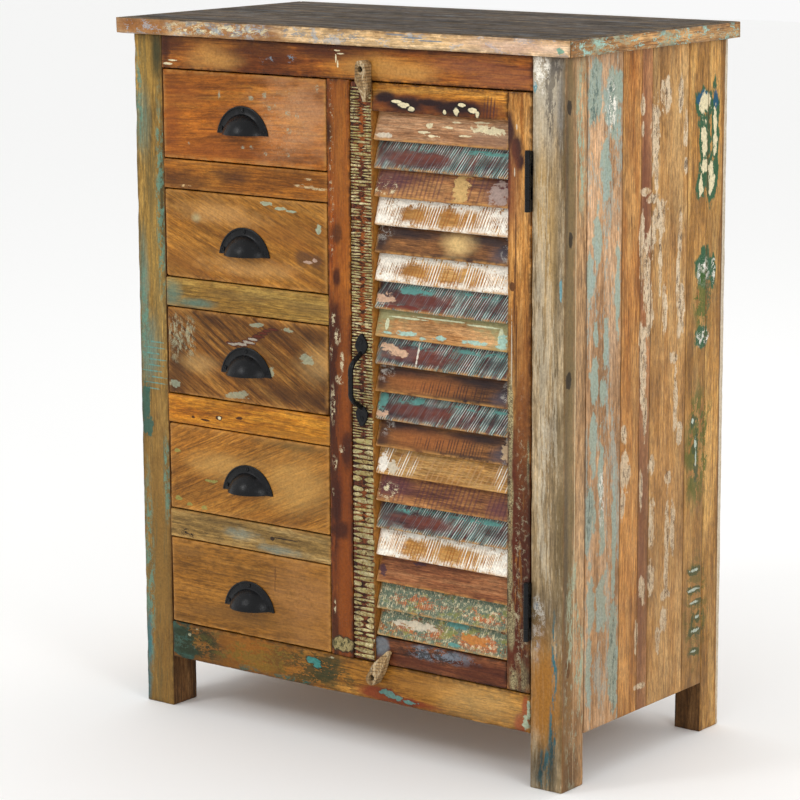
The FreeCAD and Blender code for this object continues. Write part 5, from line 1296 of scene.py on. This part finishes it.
class HighboardStage(bpy.types.Operator):
    """Sets the camera at the photograph's angle, over a plain pale floor with soft light"""

    bl_idname = "highboard.stage"
    bl_label = "Stage"

    SENSOR = 36.0
    FLOOR_REACH = 12.0
    FLOOR_ROUGHNESS = 0.9
    SKY_STRENGTH = 0.95
    # Name, place in metres, side of the square in metres and power in watts
    LAMPS = (("key", (-1.6, -3.2, 2.9), 0.8, 26.0),
             ("fill", (3.4, -1.6, 2.0), 0.9, 22.0),
             ("back", (0.6, 2.6, 3.0), 1.6, 12.0))
    LAMPS_AIM = Vector((0, 0, 0.5))

    def execute(self, context):
        self.camera(context)
        self.floor()
        self.lights(context)
        return {"FINISHED"}

    def camera(self, context):
        given = sizes()
        azimuth, elevation, roll = given.view_azimuth, given.view_elevation, given.view_roll
        ahead = Vector((-math.sin(azimuth) * math.cos(elevation),
                        math.cos(azimuth) * math.cos(elevation), -math.sin(elevation)))
        right = ahead.cross(Vector((0, 0, 1))).normalized()
        up = right.cross(ahead)
        right, up = (math.cos(roll) * right + math.sin(roll) * up,
                     math.cos(roll) * up - math.sin(roll) * right)
        data = bpy.data.cameras.new("camera")
        data.sensor_width = self.SENSOR
        data.lens = given.lens
        camera = placed("camera", data)
        turned = Matrix((right, up, -ahead)).transposed().to_4x4()
        camera.matrix_world = Matrix.Translation(given.view_place) @ turned
        context.scene.camera = camera

    def floor(self):
        reach = self.FLOOR_REACH
        corners = [Vector((x * reach, y * reach, 0.0)) for x, y in ((-1, -1), (1, -1), (1, 1), (-1, 1))]
        floor = mesh_piece("floor", corners, [(0, 1, 2, 3)], smooth=False)
        pale = bpy.data.materials.new("pale_floor")
        pale.use_nodes = True
        shader = pale.node_tree.nodes["Principled BSDF"]
        shader.inputs["Base Color"].default_value = (*ink("floor"), 1.0)
        shader.inputs["Roughness"].default_value = self.FLOOR_ROUGHNESS
        floor.data.materials.append(pale)

    def lights(self, context):
        context.scene.view_settings.view_transform = "Standard"
        world = bpy.data.worlds.new("studio")
        context.scene.world = world
        world.use_nodes = True
        sky = world.node_tree.nodes["Background"]
        sky.inputs["Color"].default_value = (1.0, 1.0, 1.0, 1.0)
        sky.inputs["Strength"].default_value = self.SKY_STRENGTH
        for name, place, side, power in self.LAMPS:
            data = bpy.data.lights.new(name, "AREA")
            data.shape = "SQUARE"
            data.size = side
            data.energy = power
            lamp = placed(name, data)
            lamp.location = place
            lamp.rotation_euler = (self.LAMPS_AIM - Vector(place)).to_track_quat("-Z", "Y").to_euler()


class HighboardTop(bpy.types.Operator):
    """Lays the planks of the top and the edging strips round them"""

    bl_idname = "highboard.top"
    bl_label = "Top"

    def execute(self, context):
        low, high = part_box("top_planks")
        for index, (near, far) in enumerate(seams("top_planks", DEPTH)):
            plank = board("top_plank_%d" % (index + 1), *spanning(low, high, DEPTH, near, far),
                          SEEDS["top_plank"] + index, wave=0.7)
            finish_piece(plank, "root", "top_planks", row_node(index, "top_planks"))
        for index, side in enumerate(("front", "back", "left", "right")):
            strip = self.strip(side, low, high, SEEDS["top_edging"] + index)
            finish = "edging_side" if side in ("left", "right") else "edging"
            finish_piece(strip, "root", finish, row_node(index, "top_edging"))
            face_finish(strip, (0, 0, 1), "top_planks")
        return {"FINISHED"}

    def strip(self, side, low, high, seed):
        """An edging strip on one side of the planks, cut to a mitre at both ends."""
        outer_low, outer_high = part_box("top_edging")
        run, over = (WIDTH, DEPTH) if side in ("front", "back") else (DEPTH, WIDTH)
        if side in ("front", "left"):
            outside, inside = outer_low[over], low[over]
            corner, far_corner = spanning(outer_low, outer_high, over, outside, inside)
        else:
            outside, inside = outer_high[over], high[over]
            corner, far_corner = spanning(outer_low, outer_high, over, inside, outside)
        strip = board("top_edging_" + side, corner, far_corner, seed, ease=1.2, wear=1.3)
        middle = (corner[run] + far_corner[run]) / 2
        half = (far_corner[run] - corner[run]) / 2
        for vertex in strip.data.vertices:
            inward = abs(vertex.co[over] - outside)
            vertex.co[run] = middle + (vertex.co[run] - middle) * (1 - inward / half)
        return strip


class HighboardLegs(bpy.types.Operator):
    """Stands the four legs"""

    bl_idname = "highboard.legs"
    bl_label = "Legs"

    # Each leg's finish, and the faces that have one of their own; faces under the cabinet get darker shades
    # that paint the shade there
    BACK_FACES = (((0, 1, 0), "inner_upright"), ((0, -1, 0), "leg_inner_shaded"))
    LEGS = (("leg_front_left", "leg_front_left", (((1, 0, 0), "leg_inner_shaded"),)),
            ("leg_front_right", "leg_front_right", (((1, 0, 0), "leg_right_side"),)),
            ("leg_back_left", "leg_back", BACK_FACES),
            ("leg_back_right", "leg_back", BACK_FACES))

    def execute(self, context):
        for index, (node, finish, faces) in enumerate(self.LEGS):
            leg = board(node + "_dressed", *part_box(node), SEEDS["leg"] + index, ease=1.2, wear=1.2)
            finish_piece(leg, "root", finish, [node])
            for direction, face in faces:
                face_finish(leg, direction, face)
        return {"FINISHED"}


class HighboardFrontFrame(bpy.types.Operator):
    """Makes the top and bottom rails, the rails between the drawers and the centre post"""

    bl_idname = "highboard.front_frame"
    bl_label = "Front frame"

    def execute(self, context):
        left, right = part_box("leg_front_left")[1].x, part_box("leg_front_right")[0].x
        post_low, post_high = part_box("centre_post")
        for index, name in enumerate(("top_rail", "bottom_rail")):
            self.member(name + "_dressed", spanning(*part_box(name), WIDTH, left, right),
                        SEEDS["rail"] + index, name, [name])
        for index, rail in enumerate(from_the_top(solids("drawer_rails"))):
            self.member("drawer_rail_%d" % (index + 1), spanning(*rail, WIDTH, left, post_low.x),
                        SEEDS["drawer_rail"] + index, "drawer_rail_%d" % index,
                        row_node(index, "drawer_rails"))
        between = spanning(post_low, post_high, HEIGHT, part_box("bottom_rail")[1].z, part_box("top_rail")[0].z)
        self.member("centre_post_dressed", between, SEEDS["post"], "centre_post", ["centre_post"])
        return {"FINISHED"}

    def member(self, name, box, seed, finish, nodes):
        finish_piece(board(name, *box, seed), "root", finish, nodes)


class HighboardSides(bpy.types.Operator):
    """Sets the upright planks of both sides"""

    bl_idname = "highboard.sides"
    bl_label = "Sides"

    def execute(self, context):
        for side in ("left", "right"):
            node = "side_planks_" + side
            for index, (near, far) in enumerate(seams(node, DEPTH)):
                place = spanning(*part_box(node), DEPTH, near, far)
                plank = board("side_plank_%s_%d" % (side, index + 1), *place,
                              SEEDS["side_plank"] + index, ease=0.6, wear=0.5)
                finish_piece(plank, "root", "side_plank_%s_%d" % (side, index),
                             row_node(index, node))
        return {"FINISHED"}


class HighboardInside(bpy.types.Operator):
    """Gives the back, the floor, the shelf, the runners and the drawer boxes their sawn timber"""

    bl_idname = "highboard.inside"
    bl_label = "Back and inside"

    def execute(self, context):
        finish_nodes({"back_panel": "back_board", "back_rails": "inner_across",
                      "cabinet_floor": "inner_across", "partition": "inner_upright",
                      "shelf": "inner_across", "cleats": "inner_deep", "drawer_runners": "inner_deep"})
        for number in DRAWERS:
            finish_nodes({"drawer_%d_box" % number: "inner_deep",
                          "drawer_%d_bottom" % number: "inner_across"})
        return {"FINISHED"}


class HighboardDrawerFronts(bpy.types.Operator):
    """Makes the five drawer fronts"""

    bl_idname = "highboard.drawer_fronts"
    bl_label = "Drawer fronts"

    def execute(self, context):
        for number in DRAWERS:
            body = "drawer_%d" % number
            front = board(body + "_front_dressed", *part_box(body + "_front"), SEEDS["drawer_front"] + number,
                          ease=1.4, wear=0.9)
            finish_piece(front, body, body, [body + "_front"])
        return {"FINISHED"}


class HighboardDoor(bpy.types.Operator):
    """Makes the stiles and rails of the door"""

    bl_idname = "highboard.door"
    bl_label = "Door frame"

    def execute(self, context):
        left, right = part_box("door_stile_left")[1].x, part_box("door_stile_right")[0].x
        for index, name in enumerate(("stile_left", "stile_right", "rail_top", "rail_bottom")):
            node = "door_" + name
            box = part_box(node)
            if name.startswith("rail"):
                box = spanning(*box, WIDTH, left, right)
            piece = board(node + "_dressed", *box, SEEDS["door"] + index)
            finish_piece(piece, "door", name, [node])
        return {"FINISHED"}


class HighboardSlats(bpy.types.Operator):
    """Makes the tilted slats of the door"""

    bl_idname = "highboard.slats"
    bl_label = "Slats"

    PLAY = 0.0003

    def execute(self, context):
        given = sizes()
        tilt, thick = given.slat_tilt, given.slat_thickness
        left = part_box("door_stile_left")[1].x + self.PLAY
        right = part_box("door_stile_right")[0].x - self.PLAY
        for index, (low, high) in enumerate(from_the_top(solids("door_slats"))):
            width = (high.z - low.z - thick * math.sin(tilt)) / math.cos(tilt)
            slat = board("slat_%d" % (index + 1), Vector((left, -thick / 2, -width / 2)),
                         Vector((right, thick / 2, width / 2)), SEEDS["slat"] + index, ease=0.7, wear=0.8)
            middle = (low + high) / 2
            lean = Matrix.Rotation(-tilt, 4, "X")
            slat.data.transform(Matrix.Translation((0, middle.y, middle.z)) @ lean)
            finish_piece(slat, "door", "slat_%d" % (index + 1),
                         row_node(index, "door_slats"))
        return {"FINISHED"}


class HighboardCrust(bpy.types.Operator):
    """Raises the cracked slabs of thick old paint on the door's left stile"""

    bl_idname = "highboard.crust"
    bl_label = "Paint crust"

    BARE_FOOT, BARE_HEAD = 0.003, 0.008
    # Least and most height of a slab in pitches, and the share of rows that are one slab across
    COARSE, FINE = (1.1, 2.4, 0.6), (0.5, 1.1, 0.16)
    CRACKS = (0.0008, 0.0020)
    LOST_SHARE = 0.06
    # Shares of the stile's width: its margin, and where slabs on the left start, on the right start and
    # end, and across end
    MARGIN = 0.03
    LEFT_START, RIGHT_START, RIGHT_END, ACROSS_END = (0.36, 0.50), (0.52, 0.66), (0.93, 0.98), (0.90, 0.98)
    # Where along a slab its sections lie, and how tall they are there
    SECTIONS = ((0.0, 0.3), (0.2, 0.75), (0.5, 1.0), (0.8, 1.0), (1.0, 0.85))
    SUNK = 0.0012
    LEAN = 0.0007

    def execute(self, context):
        given = sizes()
        low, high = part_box("door_stile_left")
        dice = random.Random(given.seed)
        slabs = bmesh.new()
        z = low.z + self.BARE_FOOT
        while z < high.z - self.BARE_HEAD:
            least, most, across = self.COARSE if z < low.z + given.crust_coarse else self.FINE
            tall = given.crust_pitch * dice.uniform(least, most)
            self.row(slabs, dice, low, high, z, tall, given.crust_lift, across)
            z += tall + dice.uniform(*self.CRACKS)
        bmesh.ops.recalc_face_normals(slabs, faces=slabs.faces)
        finish_piece(worked_piece("paint_crust", slabs), "door", "crust")
        return {"FINISHED"}

    def row(self, slabs, dice, low, high, z, tall, lift, across):
        """One row of slabs: two columns with bare timber between them, or now and then one across."""
        width = high.x - low.x
        spans = [(dice.uniform(*self.LEFT_START), self.MARGIN),
                 (dice.uniform(*self.RIGHT_START), dice.uniform(*self.RIGHT_END))]
        if dice.random() < across:
            spans = [(self.MARGIN, dice.uniform(*self.ACROSS_END))]
        for start, end in spans:
            if dice.random() >= self.LOST_SHARE:
                self.slab(slabs, dice, low.x + start * width, low.x + end * width, low.y, z, tall, lift)

    def slab(self, slabs, dice, start, end, face, z, tall, lift):
        """A thin plate that is pointed at its start, with uneven edges and a rounded face."""
        lean = dice.uniform(-self.LEAN, self.LEAN)
        middle = z + tall / 2
        rings = []
        for share, height in self.SECTIONS:
            x = start + (end - start) * share
            half = tall / 2 * height * dice.uniform(0.75, 1.15)
            centre = middle + lean * (share - 0.5) * 2
            front = face - lift * dice.uniform(0.6, 1.0)
            shoulder, root = front + lift * 0.4, face + self.SUNK
            rings.append([slabs.verts.new(Vector((x, y, centre + up * half))) for y, up in (
                (root, -1), (root, 1), (shoulder, 1), (front, 0.5), (front, -0.5), (shoulder, -1))])
        close_rings(slabs, rings)


def lathe_half(profile, centre, base_z, segments=44):
    """Points and faces of a profile of (radius, y) turned about Y and cut level with base_z."""
    points, faces = [], []
    drop = base_z - centre.z
    for radius, y in profile:
        lean = math.asin(min(1.0, max(-1.0, drop / radius))) if radius > drop else math.pi / 2
        for step in range(segments + 1):
            turn = lean + (math.pi - 2 * lean) * step / segments
            points.append(Vector((centre.x + radius * math.cos(turn), y,
                                  max(base_z, centre.z + radius * math.sin(turn)))))
    row = segments + 1
    for i in range(len(profile)):
        j = (i + 1) % len(profile)
        for step in range(segments):
            faces.append((i * row + step, i * row + step + 1, j * row + step + 1, j * row + step))
    for step in (0, segments):
        ring = [i * row + step for i in range(len(profile))]
        faces.append(ring if step else ring[::-1])
    return points, faces


class HighboardPulls(bpy.types.Operator):
    """Casts the five cup pulls and their screws"""

    bl_idname = "highboard.pulls"
    bl_label = "Cup pulls"

    PLAY = 0.0002
    # The stepped rim: in from its edge and behind its face, then out from the dome's foot and behind
    RIM = ((0.0003, 0.0009), (0.0014, 0.0001), (0.0026, 0.0001), (0.0031, 0.0007))
    FOOT = ((0.0012, 0.0007), (0.0006, 0.0001))
    STEPS = 13
    # Share of the dome's turn that its sections cover, so that it has no point
    COVERED = 0.985
    SHARP_FROM = 48

    def execute(self, context):
        for number in DRAWERS:
            body = "drawer_%d" % number
            node = body + "_pull"
            pull = mesh_piece(node + "_cast", *self.shape(*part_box(node)))
            self.trim(pull)
            finish_piece(pull, body, "iron", [node])
            screws = slotted_screws(node + "_screws", "y", solids(node + "_screws"), number)
            finish_piece(screws, body, "iron", [node + "_screws"])
        return {"FINISHED"}

    def shape(self, low, high):
        """The section of the cup: a stepped rim, the dome and the hollow under it."""
        given = sizes()
        metal = given.pull_metal
        wide, tall, deep = (high.x - low.x) / 2, high.z - low.z, high.y - low.y
        radius = (wide ** 2 + tall ** 2) / (2 * tall)
        centre = Vector(((low.x + high.x) / 2, high.y, high.z - radius))
        base = radius - given.pull_flange
        rise = deep - metal
        bend = (base ** 2 + rise ** 2) / (2 * rise)
        dome_y = low.y + bend
        back, face = high.y - self.PLAY, high.y - metal
        profile = [(radius - self.RIM[0][0], back)]
        profile += [(radius - inward, face + behind) for inward, behind in self.RIM]
        profile += [(base + outward, face + behind) for outward, behind in self.FOOT]
        lean = math.asin(base / bend)
        inner = bend - metal
        inner_lean = math.acos((dome_y - back) / inner)
        for step in range(self.STEPS + 1):
            turn = lean * (1 - self.COVERED * step / self.STEPS)
            profile.append((bend * math.sin(turn), dome_y - bend * math.cos(turn)))
        for step in range(self.STEPS + 1):
            turn = inner_lean * (1 - self.COVERED + self.COVERED * step / self.STEPS)
            profile.append((inner * math.sin(turn), dome_y - inner * math.cos(turn)))
        return lathe_half(profile, centre, low.z + self.PLAY)

    def trim(self, pull):
        """Joins the points that fall together and sets the sharp edges."""
        mesh = bmesh.new()
        mesh.from_mesh(pull.data)
        bmesh.ops.remove_doubles(mesh, verts=mesh.verts, dist=2e-5)
        bmesh.ops.dissolve_degenerate(mesh, edges=mesh.edges, dist=1e-5)
        bmesh.ops.recalc_face_normals(mesh, faces=mesh.faces)
        mesh.to_mesh(pull.data)
        mesh.free()
        pull.data.shade_smooth()
        pull.data.set_sharp_from_angle(angle=math.radians(self.SHARP_FROM))


def slotted_screws(name, axis, boxes, seed):
    """Round screw heads with a cut slot, one where each screw starts."""
    given = sizes()
    dice = random.Random(seed * 13 + given.seed)
    heads = bmesh.new()
    for low, high in boxes:
        middle = (low + high) / 2
        if axis == "y":
            start, facing = Vector((middle.x, low.y, middle.z)), Matrix.Rotation(math.pi / 2, 4, "X")
        else:
            start = Vector((low.x if axis == "x" else high.x, middle.y, middle.z))
            facing = Matrix.Rotation(-math.pi / 2 if axis == "x" else math.pi / 2, 4, "Y")
        place = Matrix.Translation(start) @ facing @ Matrix.Rotation(dice.uniform(0, math.pi), 4, "Z")
        screw_head(heads, place, given.screw_head)
    return worked_piece(name, heads, sharp_from=40)


# The rings of a screw's head: their share of its radius, and their height
HEAD_LEVELS = ((1.0, -0.0012), (1.0, 0.0), (0.82, 0.00022), (0.45, 0.00034))
HEAD_CROWN = 0.00036
HEAD_SEGMENTS = 24
SLOT_DEPTH = 0.0007
SLOT_SHARE = 0.288


def screw_head(target, place, radius):
    """A low domed head about local Z with a slot across it, and a short stub below."""
    rings = []
    for share, height in HEAD_LEVELS:
        ring = []
        for step in range(HEAD_SEGMENTS):
            turn = 2 * math.pi * (step + 0.5) / HEAD_SEGMENTS
            x, y = radius * share * math.cos(turn), radius * share * math.sin(turn)
            sunk = SLOT_DEPTH if abs(y) < radius * SLOT_SHARE and height > 0.0 else 0.0
            ring.append(target.verts.new(place @ Vector((x, y, height - sunk))))
        rings.append(ring)
    join_rings(target, rings)
    crown = [target.verts.new(place @ Vector((side * radius * 0.2, 0.0, HEAD_CROWN - SLOT_DEPTH)))
             for side in (-1, 1)]
    top = rings[-1]
    quarter, three = HEAD_SEGMENTS // 4, 3 * HEAD_SEGMENTS // 4
    for step in range(HEAD_SEGMENTS):
        side = 0 if quarter <= step < three else 1
        target.faces.new((top[step], top[(step + 1) % HEAD_SEGMENTS], crown[side]))
    target.faces.new((top[quarter], crown[0], crown[1]))
    target.faces.new((top[three], crown[1], crown[0]))
    target.faces.new(rings[0][::-1])


class HighboardHandle(bpy.types.Operator):
    """Forges the bow handle and its screws"""

    bl_idname = "highboard.handle"
    bl_label = "Bow handle"

    def execute(self, context):
        handle = forged("door_handle_forged", "door_handle", voxel=0.0009, relief=0.0005, grain=160.0)
        finish_piece(handle, "door", "iron", ["door_handle"])
        screws = slotted_screws("door_handle_screw_heads", "y", solids("door_handle_screws"),
                                SEEDS["handle_screws"])
        finish_piece(screws, "door", "iron", ["door_handle_screws"])
        return {"FINISHED"}


class HighboardHinges(bpy.types.Operator):
    """Finishes the butt hinges, their pins and their screws"""

    bl_idname = "highboard.hinges"
    bl_label = "Hinges"

    def execute(self, context):
        finish_nodes(dict.fromkeys(("hinge_frame_leaves", "hinge_door_leaves", "hinge_pins", "latch_screws"),
                                   "iron"))
        for node, axis, body in (("hinge_frame_screws", "x", "root"), ("hinge_door_screws", "-x", "door")):
            screws = slotted_screws(node + "_heads", axis, solids(node), SEEDS["hinge_screws"])
            finish_piece(screws, body, "iron", [node])
        return {"FINISHED"}


class HighboardLatches(bpy.types.Operator):
    """Whittles the two turn latches"""

    bl_idname = "highboard.latches"
    bl_label = "Turn latches"

    def execute(self, context):
        for name in ("latch_top", "latch_bottom"):
            latch = forged(name + "_whittled", name, voxel=0.0008, relief=0.0007, grain=110.0)
            finish_piece(latch, name, "latch", [name])
        return {"FINISHED"}


OPERATORS = (HighboardStage, HighboardTop, HighboardLegs, HighboardFrontFrame, HighboardSides,
             HighboardInside, HighboardDrawerFronts, HighboardDoor, HighboardSlats, HighboardCrust,
             HighboardPulls, HighboardHandle, HighboardHinges, HighboardLatches)


class HighboardPanel(bpy.types.Panel):
    """Lists the sizes, the colours and the pieces of the highboard"""

    bl_idname = "VIEW3D_PT_highboard"
    bl_label = "Highboard"
    bl_space_type = "VIEW_3D"
    bl_region_type = "UI"
    bl_category = "Highboard"

    def draw(self, context):
        for group_of in (context.scene.highboard_sizes, context.scene.highboard_colours):
            column = self.layout.column(align=True)
            for key in type(group_of).__annotations__:
                column.prop(group_of, key)
        for operator in OPERATORS:
            self.layout.operator(operator.bl_idname)


CLASSES = (HighboardSizes, HighboardColours, *OPERATORS, HighboardPanel)


def register():
    for made in CLASSES:
        bpy.utils.register_class(made)
    bpy.types.Scene.highboard_sizes = PointerProperty(type=HighboardSizes)
    bpy.types.Scene.highboard_colours = PointerProperty(type=HighboardColours)


def unregister():
    del bpy.types.Scene.highboard_colours
    del bpy.types.Scene.highboard_sizes
    for made in reversed(CLASSES):
        bpy.utils.unregister_class(made)


def main():
    register()
    for operator in OPERATORS:
        area, name = operator.bl_idname.split(".")
        getattr(getattr(bpy.ops, area), name)()


if __name__ == "__main__":
    main()
